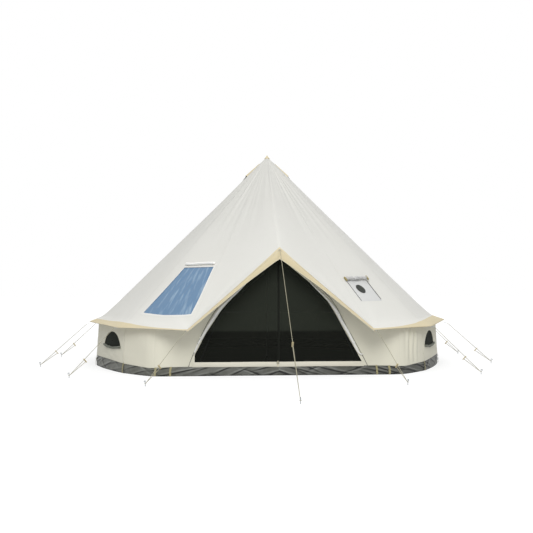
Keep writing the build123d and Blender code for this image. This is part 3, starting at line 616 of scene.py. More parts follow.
gores = [(number, *gore_grid(number)) for number in range(GORES)]
roof_cloth = grid_mesh(
    "roof_cloth", [roof_surface(*gore) for gore in gores], roof_canvas,
    [gore_map(*gore) for gore in gores], hole=(SKY_GORE, SKY_CELLS), merge=0.003, thick=CANVAS)
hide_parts(*[f"roof_panel_{n:02d}" for n in range(1, 13)], "dormer_roof_left",
            "dormer_roof_right",
            "eave_valance_a", "eave_valance_b")


def seam_strips(name, rows, length, surfaces, finish, lift):
    """Felled seams, 14 mm wide strips 0.4 mm thick. Each surface is a function of the share along
    the seam, a sideways distance and a lift."""
    side = np.linspace(-0.007, 0.007, 5)[None]
    rows = rows[:, None]
    return grid_mesh(name, [surface(rows, side, lift) for surface in surfaces], finish,
                     [paired(side, rows * length)] * len(surfaces), thick=0.0004, side=1)


def roof_seam(number):
    """The roof's surface beside a seam, by the share down and the distance sideways."""
    ends = edge_line(np.array([number, number + 1]), np.ones(2))
    width = np.linalg.norm(ends[1] - ends[0])

    def surface(down, side, lift):
        shift = side / (width * np.maximum(down, 0.03))
        owner = np.where(shift < 0, number - 1, number)
        return roof_surface(owner, np.where(shift < 0, 1 + shift, shift), down + 0 * side, lift)
    return surface


roof_seams = seam_strips("roof_seams", np.linspace(0.035, 0.998, 150), 3.4,
                         [roof_seam(n) for n in range(1, GORES)], seam_canvas, 0.0003)

# the tan facing of the eave, folded over it: wide on top and 40 mm under it
trim_sheets, trim_maps = [], []
share = shares(10)[:, None]
for number in range(GORES):
    across = shares(41)[None]
    reach = np.interp(across, FACING_STEPS, FACING.get(number, OTHER_FACING))[0]
    reach = smoothed(reach, 4, mode="reflect", reflect_type="odd")
    down = 1 - reach / EAVE_RUN * (1 - share)
    top = roof_surface(number, across + 0 * down, down, 0.0022)
    under = roof_surface(number, across + 0 * down, 1 - 0.04 / EAVE_RUN * share, -0.0052)
    trim_sheets.append(np.concatenate([top, under]))
    trim_maps.append(paired(
        across * 1.15 + number * GORE_SPACING, np.linspace(0, 0.2, 20)[:, None]))
eave_trim = grid_mesh("eave_trim", trim_sheets, tan_canvas, trim_maps, thick=TAPE)


# ---- canopy hem ---------------------------------------------------------------------------
def hem_point(along, drop, out=0.0):
    """The hem hangs plumb from the canopy's front edge. along runs from -1 at the left eave over 0
    at the peak to 1 at the right, drop from 0 at the edge to 1 at the lower rim, which is deep at
    the peak and thin at the ends."""
    far = np.abs(along)
    peak, end = np.array([0, -RIDGE_Y, RIDGE_Z]), edge_line(np.array(1), np.array(1.0))
    edge = peak + (end - peak) * far[..., None]
    edge[..., 0] *= np.where(along < 0, -1.0, 1.0)
    depth = np.interp(far, [0, 0.10, 0.22, 0.31, 0.42, 0.60, 0.87, 1],
                      [0.108, 0.090, 0.074, 0.060, 0.048, 0.039, 0.027, 0.019])
    fold = 0.004 * np.sin(np.pi * far * 5 + 1) * drop * np.clip(far * 6, 0, 1)
    forward = paired(np.clip(along * 30, -1, 1) * 0.225, -0.974, 0 * along)
    edge = edge + forward * (0.003 * np.sin(drop * np.pi) + fold * 0.3 + out)[..., None]
    edge[..., 2] -= 0.002 + 0.004 * bell(far, 0, 0.03) + depth * drop
    return edge


along, drop = grid(np.linspace(-1, 1, 141), shares(9))
hem = grid_mesh("canopy_hem_cloth", [hem_point(along, drop)], tan_canvas,
                [paired(drop * 0.1, along * 1.5)], thick=CANVAS)
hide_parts("canopy_hem_left", "canopy_hem_right")
rim = hem_point(np.linspace(-1, 1, 161), np.ones(161), 0.001)
hem_piping = grid_mesh("canopy_hem_piping", [swept(rim, 0.0045, 8)], piping_canvas, closed=True)


# ---- walls --------------------------------------------------------------------------------
WALL_CORNERS = np.array([CORNER, *range(2, GORES - 1), GORES - CORNER])


def wall_radius(turn, height):
    """A wall facet is a chord between its corners; the cloth rounds it out, a little over half of
    the way to a true circle."""
    first = np.searchsorted(WALL_CORNERS, turn, side="right") - 1
    first = np.clip(first, 0, len(WALL_CORNERS) - 2)
    low, high = WALL_CORNERS[first], WALL_CORNERS[first + 1]
    corner = BASE_R - LEAN * height
    chord = corner * np.cos((high - low) / 2 * GORE) / np.cos((turn - (low + high) / 2) * GORE)
    return chord + 0.55 * (corner - chord)


CORNER_TURN = np.pi / 8               # half the angle between the front wall and its neighbour
CORNER_REACH, CORNER_CUT = 0.15, 0.028


def rounded(points):
    """Rounds the front wall's two upright corners: within a reach of the corner the cloth is drawn
    in, by the square of the share that is left, along the line halfway between both faces."""
    radius = BASE_R - LEAN * points[..., 2]
    for side in (-1, 1):
        corner = around(side * CORNER, radius, points[..., 2])[..., :2]
        away = np.linalg.norm(points[..., :2] - corner, axis=-1)
        draw = CORNER_CUT * np.clip(1 - away / CORNER_REACH, 0, 1) ** 2
        halfway = np.array([side * np.sin(CORNER_TURN), -np.cos(CORNER_TURN), 0])
        points = points - draw[..., None] * halfway
    return points


def base_rise(turn):
    """How much higher than its cut the line between wall and groundsheet stands: pulled down at
    the front corners, by a bell curve, and up along the sides, by a smooth step."""
    front = np.minimum(np.abs(turn), np.abs(GORES - turn))
    step = ramp(front, 1.75, 0.8)
    return 0.030 * step ** 2 * (3 - 2 * step) - 0.014 * bell(front, 1.55, 0.17)


def wall_point(turn, height, out=0.0):
    """The walls' outer face by turn and height, with soft upright folds that hang from the roof
    and die out at the ground, gathers beside the front wall's right end, and crumpled cloth under
    both front windows."""
    height = height + base_rise(turn) * (1 - ramp(height, TUB, 0.13))
    hang = ramp(height, TUB, 0.5)
    fold = (0.006 * noise(turn * 1.9, height * 0.25, 11)
            + 0.0035 * noise(turn * 6.0, height * 0.5, 12)) * hang
    dent = 0.003 * noise(turn * 1.1, height * 2.5, 13)
    wave = np.sin((turn - 1.7) / 0.10 * 2 * np.pi + 0.6 * np.sin(height * 9))
    gather = 0.019 * np.exp(-((turn - 1.73) / 0.13) ** 4) * wave * hang ** 0.5
    under = (bell(turn, 11.62, 0.30) + bell(turn, 2.38, 0.30)) * bell(height, 0.22, 0.07)
    crumple = 0.006 * noise(turn * 7.0, height * 9.0, 14) * under
    slack = ramp(np.minimum(turn, GORES - turn), CORNER, 0.30)
    relief = (fold + dent) * slack * (2 - slack) + gather + crumple
    return rounded(around(turn, wall_radius(turn, height) + relief + out, height))


def wall_top(turn):
    """The height at which a wall meets the roof's underside, found in a few steps."""
    height = WALL_TOP + 0 * turn
    for _ in range(4):
        radius = wall_radius(turn, height) * np.cos((turn - np.floor(turn) - 0.5) * GORE) / FLAT
        height = seam_height(radius) - 0.008
    return height


def wall_map(turn, height):
    """Metres round and up the wall, for the weave."""
    return paired(turn * GORE * BASE_R, height)


VENT_RISE, VENT_SILL = 0.207, 0.312
VENT_EYE = 0.4 * VENT_RISE            # a vent's centre above its sill
# each vent's panel, how far its middle stands beside the panel's, and its width
VENTS = ((2.5, -0.215, 0.580), (4.5, 0.180, 0.540), (9.5, -0.180, 0.540), (11.5, 0.150, 0.620))


def vent_turn(vent, sideways):
    """The turn of a point beside a vent's middle."""
    return vent[0] + np.arctan((vent[1] + sideways) / (BASE_R * FLAT)) / GORE


def vent_place(vent, reach, angle):
    """The turn and height of points by their distance and direction from a vent's centre."""
    return vent_turn(vent, reach * np.cos(angle)), VENT_SILL + VENT_EYE + reach * np.sin(angle)


def vent_rim(vent, angle, grow=0.0):
    """The distance from a vent's centre to its half-moon rim, by direction: the arc above and the
    flat sill below, whichever is nearer."""
    circle = (vent[2] ** 2 / 4 + VENT_RISE ** 2) / (2 * VENT_RISE)
    rise = VENT_EYE - (VENT_RISE - circle)
    arc = -rise * np.sin(angle) + np.sqrt((circle + grow) ** 2 - (rise * np.cos(angle)) ** 2)
    below = -(VENT_EYE + grow) / np.minimum(np.sin(angle), -1e-9)
    return np.minimum(arc, np.where(np.sin(angle) < 0, below, np.inf))


def vent_angles(vent):
    """Directions round a vent's centre, with the half-moon's two corners among them."""
    corner = np.arctan2(-VENT_EYE, vent[2] / 2)
    return np.concatenate([np.linspace(corner, np.pi - corner, 61)[:-1],
                           np.linspace(np.pi - corner, 2 * np.pi + corner, 25)[:-1]])


def vented_panel(vent):
    """A wall panel with a vent: rings of points from the half-moon out to the panel's own edges."""
    left, right = (np.tan((seam - vent[0]) * GORE) * BASE_R * FLAT - vent[1]
                   for seam in (np.floor(vent[0]), np.ceil(vent[0])))
    bottom, top = TUB - (VENT_SILL + VENT_EYE), WALL_TOP - (VENT_SILL + VENT_EYE)
    corners = np.arctan2([bottom, bottom, top, top], [left, right, left, right])
    angle = np.concatenate([vent_angles(vent), corners, np.linspace(0, 2 * np.pi, 120)])
    angle = np.unique(np.round(np.mod(angle, 2 * np.pi), 6))
    c, s = np.cos(angle), np.sin(angle)
    outer = np.min([np.where(way * edge > 1e-9, edge / np.where(way == 0, 1, way), np.inf)
                    for way, edge in ((c, right), (c, left), (s, top), (s, bottom))], axis=0)
    share = shares(18)[:, None]
    turn, height = vent_place(vent, vent_rim(vent, angle) * (1 - share) + outer * share, angle)
    return turn, height + (wall_top(turn) - WALL_TOP) * ramp(height, 0.45, 0.21)


wall_grids = []
for low, high in zip(WALL_CORNERS[:-1], WALL_CORNERS[1:]):
    vents = [vent for vent in VENTS if low < vent[0] < high]
    if vents:
        wall_grids.append([ring(part)[:, ::-1] for part in vented_panel(vents[0])])
    else:
        share, turn = grid(np.linspace(1, 0, 26), np.linspace(low, high, 34))
        wall_grids.append((turn, TUB + (wall_top(turn) - TUB) * share))
wall_cloth = grid_mesh("wall_cloth", [wall_point(*part) for part in wall_grids], wall_canvas,
                       [wall_map(*part) for part in wall_grids], merge=0.001, thick=CANVAS)
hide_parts("front_shoulder_walls", "front_vent_walls", "side_walls", "rear_vent_walls",
            "rear_side_walls", "rear_wall_left", "rear_wall_right")


def wall_seam(turn):
    """The wall's surface beside an upright seam."""
    top = wall_top(np.array(float(turn)))
    return lambda rise, side, lift: wall_point(
        turn + side / (BASE_R * GORE), TUB + (top - TUB) * rise + 0 * side, lift)


# the upright seams of the back walls
wall_seams = seam_strips("wall_seams", shares(40), 0.55,
                         [wall_seam(n) for n in range(5, 10)], wall_canvas, 0.0006)

# vent netting, its binding tape, and the cover rolled up under it
net_sheets, net_maps, tape_sheets, tape_maps, vent_roll_paths = [], [], [], [], []
for k, vent in enumerate(VENTS):
    angle = vent_angles(vent)
    net = vent_place(vent, vent_rim(vent, angle, 0.004) * shares(10)[:, None], angle)
    net_sheets.append(ring(wall_point(*net, -0.002)))
    net_maps.append(ring(wall_map(*net)))
    arc = angle[:61]
    edges = np.array([-0.004, 0.004, 0.012, 0.020])[:, None]
    tape = vent_place(vent, vent_rim(vent, arc) + edges, arc)
    tape_sheets.append(wall_point(*tape, 0.0012))
    tape_maps.append(wall_map(*tape))
    sideways = np.linspace(-0.49, 0.49, 44) * vent[2]
    sag = 0.012 - 0.022 * np.cos(sideways / vent[2] * np.pi)
    sag += 0.004 * noise(sideways * 6, 0, 20 + k)
    vent_roll_paths.append(wall_point(vent_turn(vent, sideways), VENT_SILL + sag, 0.008))
vent_net = grid_mesh("vent_netting", net_sheets, vent_netting, net_maps, thick=FILM)
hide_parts("vent_mesh")
vent_tape = grid_mesh("vent_binding", tape_sheets, piping_canvas, tape_maps, thick=TAPE, side=1)
vent_rolls = rolled("vent_cover_rolls", vent_roll_paths, 0.0165, vent_roll_canvas, 31, 20, 0.26)
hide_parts("vent_flap_rolls")


# ---- front wall and door ------------------------------------------------------------------
LEAN_LENGTH = np.hypot(1, FRONT_LEAN)


def front_point(x, rise, out=0.0):
    """A point in the front wall's plane, which leans back a little: x across, rise up the plane
    and out along its normal."""
    return paired(x, -FRONT_Y + (rise * FRONT_LEAN - out) / LEAN_LENGTH,
                  (rise + out * FRONT_LEAN) / LEAN_LENGTH)


def roof_over_front(x):
    """How far up the front plane the roof's underside is: over the dormer's slope near the middle
    and the first gore's slope beyond its seam, whichever is higher, since they meet in a valley."""
    knee = edge_line(np.array(1), np.array(BREAK_R / EAVE_R))
    fall = (APEX - RIDGE_Z) / RIDGE_Y
    side_fall = (APEX + fall * knee[1] - knee[2]) / knee[0]
    bearing = CORNER * GORE
    rise = 0.9 + 0 * x
    for _ in range(8):
        y = -FRONT_Y + rise * FRONT_LEAN
        gore_one = seam_height((x * np.sin(bearing) - y * np.cos(bearing)) / FLAT)
        rise = np.maximum(APEX + fall * y - side_fall * x, gore_one)
    return rise - 0.009 - 0.012 * bell(x, 0, 0.12)


def front_relief(x, rise):
    """Slack of the front cloth: folds that pull from the frame's knee towards the ground corner,
    slow waves, and crumpled cloth beside the corner."""
    pull = (x - 0.72) * 0.62 + (rise - 0.79) * 0.78
    crumple = 0.007 * noise(x * 8, rise * 8, 42) * bell(x, 1.34, 0.13) * bell(rise, 0.46, 0.10)
    folds = 0.005 * np.sin(pull * 21) * bell(x, 1.1, 0.35)
    return (crumple + folds + 0.004 * noise(x * 1.6, rise * 1.1, 41)) * ramp(rise, TUB, 0.15)


for name, side in (("left", -1), ("right", 1)):
    outwards = slice(None, None, -side)
    # rows run from the door's edge out to the corner seam and the roof
    inner = np.concatenate([
        polyline([(1.066, TUB), *NET_EDGE[side][:4]], shares(41)),
        polyline(NET_EDGE[side][3:], shares(61))[1:]])
    corner_rise = np.linspace(TUB, wall_top(np.array([CORNER + 1e-6]))[0], 41)
    corner_x = (BASE_R - LEAN * corner_rise) * np.sin(CORNER * GORE)
    top_x = np.linspace(corner_x[-1], 0, 61)[1:]
    outer = np.concatenate([paired(corner_x, corner_rise * LEAN_LENGTH),
                            paired(top_x, roof_over_front(top_x))])
    blend = shares(26)[None, :, None]
    x, rise = np.moveaxis(inner[:, None] * (1 - blend) + outer[:, None] * blend, -1, 0)
    rise = rise + base_rise(np.arctan(x / FRONT_Y) / GORE) * (1 - ramp(rise, TUB, 0.13))
    face = rounded(front_point(side * x, rise, front_relief(x, rise)))
    # the outermost rows run into the side wall's own folds at the seam
    seam = wall_point(CORNER if side > 0 else GORES - CORNER, corner_rise) - face[:41, -1]
    face[:41] += seam[:, None] * blend ** 8
    wall = grid_mesh(f"front_cloth_{name}", [face[:, outwards]], wall_canvas,
                     [paired(x, rise)[:, outwards]], thick=CANVAS)
    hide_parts(f"front_wall_{name}")

    # netting: between the zip and the door's edge, a little slack
    rise = np.linspace(SILL, DOOR_PEAK, 60)[:, None]
    edge = np.interp(rise, NET_EDGE[side][:, 1], NET_EDGE[side][:, 0])
    low = np.minimum(0.010, edge)
    x = low + (edge - low) * shares(40)[None]
    slack = 0.006 * noise(x * 1.3, rise * 1.3, 43) * np.clip((edge - x) * 6, 0, 1) - 0.003
    door_net = grid_mesh(f"door_netting_{name}", [front_point(side * x, rise, slack)[:, outwards]],
                         netting, [paired(x, rise)[:, outwards]])
    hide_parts(f"door_mesh_{name}")

    # the canvas door's zip, sewn outside the netting
    x, rise = polyline(ZIP_LINE[side], shares(60)).T
    zip_line = swept(front_point(side * x, rise, 0.002 + front_relief(x, rise)), 0.0034, 6)
    door_side_zip = grid_mesh(f"door_side_zip_{name}", [zip_line], side_zip_tape, closed=True)

# the netting's middle zip: two tapes, a coil between them, and a slider near the top
tape_rise = np.linspace(SILL, DOOR_PEAK - 0.012, 60)
tape_side = np.linspace(-0.013, 0.013, 5)
zip_face = front_point(tape_side, tape_rise[:, None], 0.0005)
door_zip = grid_mesh("door_middle_zip", [zip_face[::-1]], zip_tape,
                     [paired(tape_side, tape_rise[:, None])], thick=WEBBING)
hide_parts("door_zip")
coil = swept(front_point(0 * tape_rise, tape_rise, 0.003), 0.003, 8)
zip_coil = grid_mesh("door_zip_coil", [coil], coil_nylon, closed=True)
pull_x, pull_rise, pull_out = np.array([
    (0, 1.232, 0.006), (0, 1.226, 0.012), (0.001, 1.205, 0.014), (0.001, 1.184, 0.013)]).T
pull = swept(polyline(front_point(pull_x, pull_rise, pull_out), shares(14)), 0.006, 8)
zip_pull = grid_mesh("door_zip_pull", [pull], coil_nylon, closed=True)


def tie_round(centre, ahead):
    """A tie: a loop of 18 mm tape round a roll, square to the way it runs."""
    turn = np.linspace(0, 2 * np.pi, 25)[:, None]
    ahead = ahead / np.linalg.norm(ahead)
    side = np.cross(ahead, [0.31, 0.2, 0.93])
    side /= np.linalg.norm(side)
    loop = (side * np.cos(turn) + np.cross(side, ahead) * np.sin(turn)) * 0.0195
    return centre + np.linspace(-0.009, 0.009, 4)[:, None, None] * ahead + loop[None]


# the canvas door rolled up along both sides, held by ties
roll_paths, tie_sheets = [], []
share = shares(110)
for side in (-1, 1):
    beside = [(0.016, 0.095), (0.014, 0.004), (0.018, 0.006), (0.020, 0.010), (0.010, 0.006)]
    edge = NET_EDGE[side]
    line = polyline([*(edge[:5] + beside), *edge[5:7]], share)
    x, rise = (smoothed(part, 6, mode="edge") for part in line.T)
    x[[0, -1]], rise[[0, -1]] = line[[0, -1]].T
    sway = 0.006 * noise(share * 4, 0, 50 + side)
    out = 0.018 + 0.003 * noise(share * 5, 1, 52 + side)
    path = front_point(side * (x + 0.004 + sway), rise, out)
    roll_paths.append(path)
    tie_sheets += [tie_round(path[k], path[k + 1] - path[k - 1]) for k in (22, 52)]
roll_taper = np.interp(share, [0, 0.03, 0.25, 0.58, 0.66, 1],
                       [0.004, 0.010, 0.016, 0.022, 0.012, 0.007])
door_rolls = rolled("door_flap_cloth_rolls", roll_paths, roll_taper, flap_canvas, 55, 24)
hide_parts("door_flap_rolls")
ties = grid_mesh("door_roll_ties", tie_sheets, flap_canvas, thick=WEBBING, side=1)

# the sill: a doubled band of canvas under the netting, a little slack, with its buckle
band, share = grid(np.linspace(1, 0, 9), shares(120))
x = (share * 2 - 1) * np.interp(band, [0, 1], [1.068, 1.048])
sill_slack = 0.004 * np.sin(np.pi * band) + 0.0035 * noise(x * 1.5, band * 0.6, 61, 2)
sill_rise = (TUB - 0.006 + (SILL - TUB + 0.008) * band
             + 0.0025 * noise(x * 1.1, band * 0, 62, 2) * (1 - band * 0.5))
sill = front_point(x, sill_rise, 0.004 + sill_slack)
door_sill = grid_mesh("door_sill_band", [sill], sill_canvas, [paired(x, band * 0.06)], thick=CANVAS)
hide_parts("door_sill")
BUCKLE_X = -0.012
share, side = grid(shares(14), np.linspace(-0.5, 0.5, 4))
strap = front_point(BUCKLE_X + side * 0.013, SILL + 0.012 - share * 0.075,
                    0.012 + 0.003 * np.sin(share * 9))
door_strap = grid_mesh("door_sill_strap", [strap], piping_canvas,
                       [paired(side * 0.02, share * 0.1)], thick=WEBBING, side=1)
# a rounded square: the sine and cosine's square roots, with their signs
square = [np.sign(way) * np.abs(way) ** 0.5
          for way in (np.cos(np.linspace(0, 2 * np.pi, 33)), np.sin(np.linspace(0, 2 * np.pi, 33)))]
buckle_path = front_point(BUCKLE_X + 0.012 * square[0], SILL - 0.012 + 0.010 * square[1], 0.017)
buckle = grid_mesh("door_sill_buckle", [swept(buckle_path, 0.0022, 8)[1:-1]], black_moulding,
                   closed=True, merge=0.0002)


# ---- groundsheet --------------------------------------------------------------------------
def tub_creases(turn, rise):
    """The slack sheet's creases, from -1 on a crest to 1 in a valley: bell-shaped valleys on
    slanting lines that fall away from the doorway, their depth coming and going along the sheet, a
    crest above each, and shadow where the sheet tucks under itself at the ground."""
    along = np.abs(np.where(turn > GORES / 2, turn - GORES, turn)) * GORE * BASE_R
    right = np.where((turn > 0) & (turn < GORES / 2), 1.0, 0.0)
    total = np.zeros(np.broadcast(turn, rise).shape)
    for spacing, slant, width, seed in (
            (0.47, 0.62, 0.050, 1), (0.31, 0.36, 0.030, 2), (0.62, -0.30, 0.034, 3)):
        warp = 0.12 * noise(along * 0.7 + 9 * right, rise * 0.5, 70 + seed)
        gap = (np.mod(along / spacing + rise * slant / spacing + warp, 1) - 0.5) * spacing
        depth = 1.1 * noise(along * 0.8 + 5 * right, rise * 0.4, 80 + seed, 2)
        valley = bell(gap, 0, width) - 0.75 * bell(gap, 1.7 * width, width)
        total += np.clip(0.45 + 0.35 * right + depth, 0, 1) * valley
    tuck = np.clip(0.55 + 1.2 * noise(along * 2.0 + 3 * right, 0 * rise, 90), 0, 1)
    return np.clip(total * np.clip(rise * 8, 0.3, 1) + tuck * bell(rise, 0, 0.09), -1, 1)


def tub_point(turn, height, out=0.0):
    """The groundsheet's upturned side: a facet between corners, rounded like the walls beside it,
    straight across the front, and drawn in along its creases."""
    chord = (BASE_R - LEAN * height) * np.cos(CORNER * GORE) / np.cos(turn * GORE)
    radius = np.where(turn < CORNER, chord, wall_radius(np.maximum(turn, CORNER), height))
    rise = np.clip(height / (TUB + base_rise(turn)), 0, 1)
    belly = np.sin(np.pi * rise)
    relief = (0.004 * noise(turn, height * 2, 73) - 0.007 * tub_creases(turn, rise)) * belly
    return rounded(around(turn, radius + 0.003 + relief - 0.007 * (1 - belly) + out, height))


tub_sheets, tub_maps, tub_crease_shading = [], [], []
for low, high in zip([-CORNER, *WALL_CORNERS[:-1]], WALL_CORNERS):
    cols = 420 if low < 0 else 110 if high - low > 0.6 else 60
    rise, turn = grid(np.linspace(1, 0, 21), np.linspace(low, high, cols))
    seam_line = TUB + 0.002 + base_rise(turn) + 0.002 * noise(turn * 2.3, 0 * turn, 74)
    tub_sheets.append(tub_point(turn, rise * seam_line))
    tub_maps.append(wall_map(turn, rise * TUB))
    tub_crease_shading.append(tub_creases(turn, rise).ravel())
tub = grid_mesh(
    "groundsheet_sides", tub_sheets, groundsheet_pvc, tub_maps, merge=0.002, thick=WEBBING)
# the crease values go to the material, which paints highlight and shade by them
tub.data.attributes.new("crease", "FLOAT", "POINT").data.foreach_set(
    "value", np.concatenate(tub_crease_shading).astype(np.float32))
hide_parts("groundsheet_tub_a", "groundsheet_tub_b", "groundsheet_tub_front")

# webbing straps that the ground pegs go through: one at each base corner, two each side of the door
STRAP_TURNS = (-1.475, -1.332, 1.249, 1.375, *map(float, range(2, GORES - 1)))
strap_sheets = []
share, side = grid(shares(16), np.linspace(-0.011, 0.011, 5))
for place in STRAP_TURNS:
    height = (TUB + base_rise(place)) * (1 - share) + 0.004
    strap_sheets.append(tub_point(place + side / (BASE_R * GORE), height, 0.006 + 0.008 * share))
peg_straps = grid_mesh("ground_peg_straps", strap_sheets, strap_webbing, thick=TAPE, side=1)

share, turn = grid(shares(40), np.linspace(-CORNER, GORES - CORNER, 281))
lying = tub_point(turn, 0 * turn, -0.003) * share[..., None]
slack = 0.0012 * noise(lying[..., 0] * 0.6, lying[..., 1] * 0.6, 75)
lying[..., 2] = 0.0035 + slack * np.clip((1 - share) * 12, 0, 1)
floor_sheet = grid_mesh("groundsheet_floor_sheet", [lying], groundsheet_pvc,
                        [lying[..., :2]], merge=0.001)
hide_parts("groundsheet_floor")


# ---- skylight -----------------------------------------------------------------------------
def sky_point(side, length, lift=0.0):
    """The skylight's own grid: side 0 to 1 from its rear edge to its front, length 0 to 1 from
    its top to its bottom, which bows out a little below."""
    down = SKY_TOP + (SKY_BOTTOM - SKY_TOP) * length
    rear = SKY_REAR[0] + (SKY_REAR[1] - SKY_REAR[0]) * length
    across = rear + (sky_front(np.clip(length, 0, 1)) - rear) * side
    return roof_surface(SKY_GORE, across, down + sky_bow(across, down), lift)


length, side = grid(np.linspace(-0.01, 1.01, 80), np.linspace(-0.01, 1.01, 70))
wrinkle = 0.004 * (1 - np.abs(noise(side * 5.0 + length * 1.0, length * 0.5, 81))) ** 3
for share in (side, length):
    wrinkle = wrinkle * np.clip(np.minimum(share, 1 - share) * 8, 0, 1)
sky_film = grid_mesh("skylight_pane", [sky_point(side, length, -0.004 + wrinkle)], clear_film,
                     [paired(side * 0.75, length * 0.85)], thick=FILM)
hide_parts("skylight_film")

# its border: four tapes that meet in mitres, by the skylight's own shares
SKY_SIDES = np.array([0.80, 0.84])
border_sheets, border_maps = [], []
share, width = grid(shares(50), np.linspace(0.024, -0.006, 6))
for start, way in (((0, 0), (1, 0)), ((1, 0), (0, 1)), ((1, 1), (-1, 0)), ((0, 1), (0, -1))):
    mitre = (2 * share - 1) * width
    across, along = (start[k] + way[k] * share + (way[k] * mitre + out * width) / SKY_SIDES[k]
                     for k, out in enumerate((way[1], -way[0])))
    border_sheets.append(sky_point(across, along, 0.0018))
    border_maps.append(paired(width, share * 0.8))
sky_border = grid_mesh("skylight_border_tape", border_sheets, piping_white, border_maps,
                       thick=TAPE, side=1)
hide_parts("skylight_border")

share = shares(60)
sky_roll_path = sky_point(share, -0.056 + 0.004 * np.sin(share * 7), 0.017)
sky_roll = rolled("skylight_cover_cloth_roll", [sky_roll_path], 0.019, flap_canvas, 83, 22)
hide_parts("skylight_cover_roll")

# ---- stove jack ---------------------------------------------------------------------------
STOVE_GORE = 1
STOVE_DOWN = np.array([1.85023, 2.12023]) / FLAT / EAVE_R
STOVE_WIDTH, STOVE_HEIGHT, STOVE_MARGIN = 0.415, 0.385, 0.077


def stove_point(side, length, lift=0.0):
    """The stove jack's own square grid on its gore: side in metres from its front edge, length 0
    to 1 from its top edge to its bottom."""
    down = STOVE_DOWN[0] + (STOVE_DOWN[1] - STOVE_DOWN[0]) * length
    half = half_width(down)
    across = (half - half_width(STOVE_DOWN[0]) + STOVE_MARGIN + side) / (2 * half)
    return roof_surface(STOVE_GORE, across, down, lift)


length, side = grid(shares(40), np.linspace(0, STOVE_WIDTH, 40))
panel = stove_point(side, length, 0.0005 + 0.0004 * noise(side * 5, length * 2, 91))
stove_panel = grid_mesh("stove_jack_cloth", [panel], stove_cloth, [paired(side, length * 0.38)],
                        thick=0.0006, side=1)
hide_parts("stove_jack_panel")

share, turn = grid(np.linspace(1, 0, 8), np.linspace(0, 2 * np.pi, 49))
x, y = share * np.cos(turn), share * np.sin(turn)
disc = stove_point(0.166 + 0.074 * x, 0.437 + 0.074 / STOVE_HEIGHT * y, 0.0048)
stove_disc = grid_mesh("stove_pipe_disc", [disc], heat_cloth, [paired(x, y) * 0.07],
                       merge=0.0005, thick=TAPE, side=1)
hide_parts("stove_jack_disc")

share = shares(60)
stove_roll_path = stove_point(0.012 + (STOVE_WIDTH - 0.024) * share,
                              -0.022 + 0.020 * np.sin(6 * share), 0.026)
stove_roll = rolled("stove_flap_cloth_roll", [stove_roll_path], 0.024, crumpled_cloth, 93, 26, 0.36)
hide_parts("stove_flap_roll")

share = shares(16)
taper = 0.0122 * (1 - 0.45 * np.abs(2 * share - 1) ** 4)
toggles = grid_mesh("stove_flap_wooden_toggles", [
    swept(stove_point(place, start + 0.185 * share, proud), taper, 14)
    for place, start, proud in ((-0.006, -0.090, 0.016), (STOVE_WIDTH + 0.004, -0.115, 0.034))],
    toggle_beech, closed=True)
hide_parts("stove_flap_toggles")

stove_zips = grid_mesh("stove_flap_zips", [
    swept(stove_point(place, np.linspace(0.06, end, 60), 0.004), coil_radius, 6)
    for place, end, coil_radius in ((0.004, 0.98, 0.0022), (STOVE_WIDTH - 0.004, 0.94, 0.0034))],
    zip_tape, closed=True)

# ---- peak ---------------------------------------------------------------------------------
# a small cone, gathered and scalloped at its rim, once for each gore
share, turn = grid(shares(26), np.linspace(0, GORES, 85))
steps, angle = [0, 0.3, 0.6, 1.0], turn * GORE
waves = np.cos(angle * GORES)
gather = 1 + 0.03 * waves * share ** 2 + 0.02 * noise(angle * 0.6, share, 95) * share
cap = around(turn, np.interp(share, steps, [0.0005, 0.0120, 0.0250, 0.0390]) * gather,
             APEX + np.interp(share, steps, [0.023, 0.006, -0.011, -0.031])
             + 0.004 * waves * ramp(share, 0.8, 0.2))
peak_cap = grid_mesh("peak_cap_cloth", [cap], tan_canvas, [paired(angle * 0.07, share * 0.12)],
                     merge=0.0006, thick=CANVAS)
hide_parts("peak_cap")

HOOD_TOP, HOOD_BOTTOM = 0.112 / FLAT / EAVE_R, 0.305 / FLAT / EAVE_R
HOOD_GORES = (3, 10)


def hood_face(side, down, lift):
    """A face on each gore that has a hood, by the distance beside the gore's middle."""
    return [roof_surface(number, 0.5 + side / (2 * half_width(down)), down, lift)
            for number in HOOD_GORES]


# each hood is an arch that widens and rises on its way down, with netting in its mouth
length, angle = grid(shares(26), np.linspace(0, np.pi, 30))
hood_sheets = hood_face(
    (0.023 + 0.044 * length) * -np.cos(angle), HOOD_TOP + (HOOD_BOTTOM - HOOD_TOP) * length,
    0.001 + (0.008 + 0.017 * length) * np.sin(angle) ** 0.7)
hoods = grid_mesh("peak_vent_cloth_hoods", hood_sheets, tan_canvas,
                  [paired(angle * 0.05, length * 0.2)] * 2, thick=CANVAS)
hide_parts("peak_vent_hoods")
length, side = grid(shares(12), np.linspace(-1, 1, 12))
hood_nets = hood_face(0.052 * side, HOOD_BOTTOM - 0.004 + 0.030 * length,
                      0.003 + 0.014 * (1 - length) * (1 - side ** 2))
hood_netting = grid_mesh("peak_vent_netting", hood_nets, netting,
                         [paired(side * 0.05, length * 0.1)] * 2, thick=FILM)

# ---- the frame's own rigid pieces get their finishes --------------------------------------
finishes = {
    galvanised: ("centre_pole", "door_frame_legs", "door_frame_rafters", "guy_rings", "guy_pegs"),
    black_moulding: ("pole_fittings", "door_frame_elbows"),
    guy_rope: ("guy_ropes",),
    beech: ("guy_sliders",),
}
for finish, names in finishes.items():
    for name in names:
        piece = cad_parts[name]
        piece.data.materials.clear()
        piece.data.materials.append(finish)


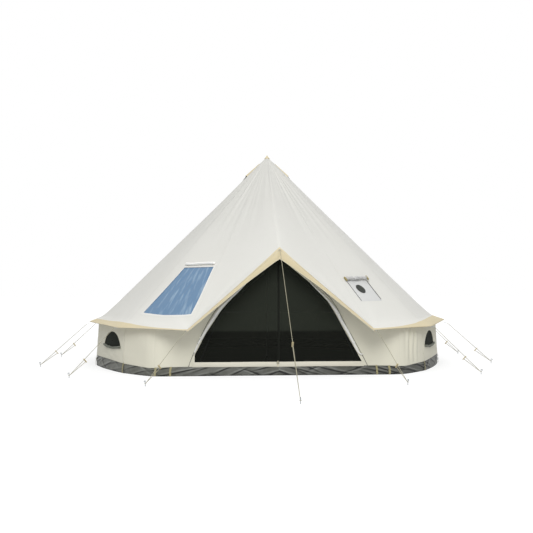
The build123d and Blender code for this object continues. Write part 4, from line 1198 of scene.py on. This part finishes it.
# ---- floor and light ----------------------------------------------------------------------
def seen_rays(material):
    """1 for what the camera sees straight on, in gloss or through film, and 0 for light."""
    rays = node(material, "LightPath").outputs
    mirrored = node(material, "Math", {"operation": "MAXIMUM"},
                    _0=rays["Is Camera Ray"], _1=rays["Is Glossy Ray"])
    return node(material, "Math", {"operation": "MAXIMUM"},
                _0=mirrored.outputs[0], _1=rays["Is Transmission Ray"]).outputs[0]


floor_mesh = bpy.data.meshes.new("floor")
floor_mesh.from_pydata([(-60, -60, 0), (60, -60, 0), (60, 60, 0), (-60, 60, 0)], [], [(0, 1, 2, 3)])
floor = bpy.data.objects.new("floor", floor_mesh)
bpy.context.scene.collection.objects.link(floor)
# the floor is pale round the tent, and fades into the white background 3.6 to 8 m away
floor_finish = new_material("pale_studio_floor")
seen = seen_rays(floor_finish)
reach = node(floor_finish, "VectorMath", {"operation": "LENGTH"},
             _0=object_place(floor_finish)).outputs["Value"]
fade = node(floor_finish, "MapRange", {
    "interpolation_type": "SMOOTHSTEP", 1: 3.6, 2: 8.0, 3: 0.66, 4: 1.0}, _0=reach).outputs[0]
paint = node(floor_finish, "BsdfDiffuse", None,
             Color=remapped(floor_finish, seen, 0.0, 1.0, 0.66, 0.93))
glow = node(floor_finish, "Emission", {"Color": (1, 1, 1, 1), "Strength": 1.12})
share = node(floor_finish, "Math", {"operation": "MULTIPLY"}, _0=fade, _1=seen)
both = node(floor_finish, "MixShader", None, Fac=share.outputs[0],
            _1=paint.outputs[0], _2=glow.outputs[0])
node(floor_finish, "OutputMaterial", None, Surface=both.outputs[0])
floor_mesh.materials.append(floor_finish)

world = bpy.data.worlds.new("studio")
bpy.context.scene.world = world
world.use_nodes = True
world.node_tree.nodes.clear()
sky_light = node(world, "Background", {"Color": (0.98, 0.99, 1, 1), "Strength": 0.465})
sky_seen = node(world, "Background", {"Color": (1, 1, 1, 1), "Strength": 1.0})
sky_both = node(world, "MixShader", None, Fac=seen_rays(world),
                _1=sky_light.outputs[0], _2=sky_seen.outputs[0])
node(world, "OutputWorld", None, Surface=sky_both.outputs[0])


def soft_box(name, place, size, power):
    """A large square lamp that looks at a point a metre above the tent's middle."""
    data = bpy.data.lights.new(name, "AREA")
    data.shape, data.size, data.energy = "SQUARE", size, power
    lamp = bpy.data.objects.new(name, data)
    bpy.context.scene.collection.objects.link(lamp)
    lamp.location = place
    lamp.rotation_euler = (Vector((0, 0, 1)) - Vector(place)).to_track_quat("-Z", "Y").to_euler()


soft_box("key", (-0.3, -9.8, 7.6), 6.0, 725)
soft_box("top", (0.5, 0.5, 11.0), 9.0, 280)
soft_box("back", (1.0, 10.5, 6.5), 7.0, 330)

bpy.context.scene.view_settings.view_transform = "Standard"
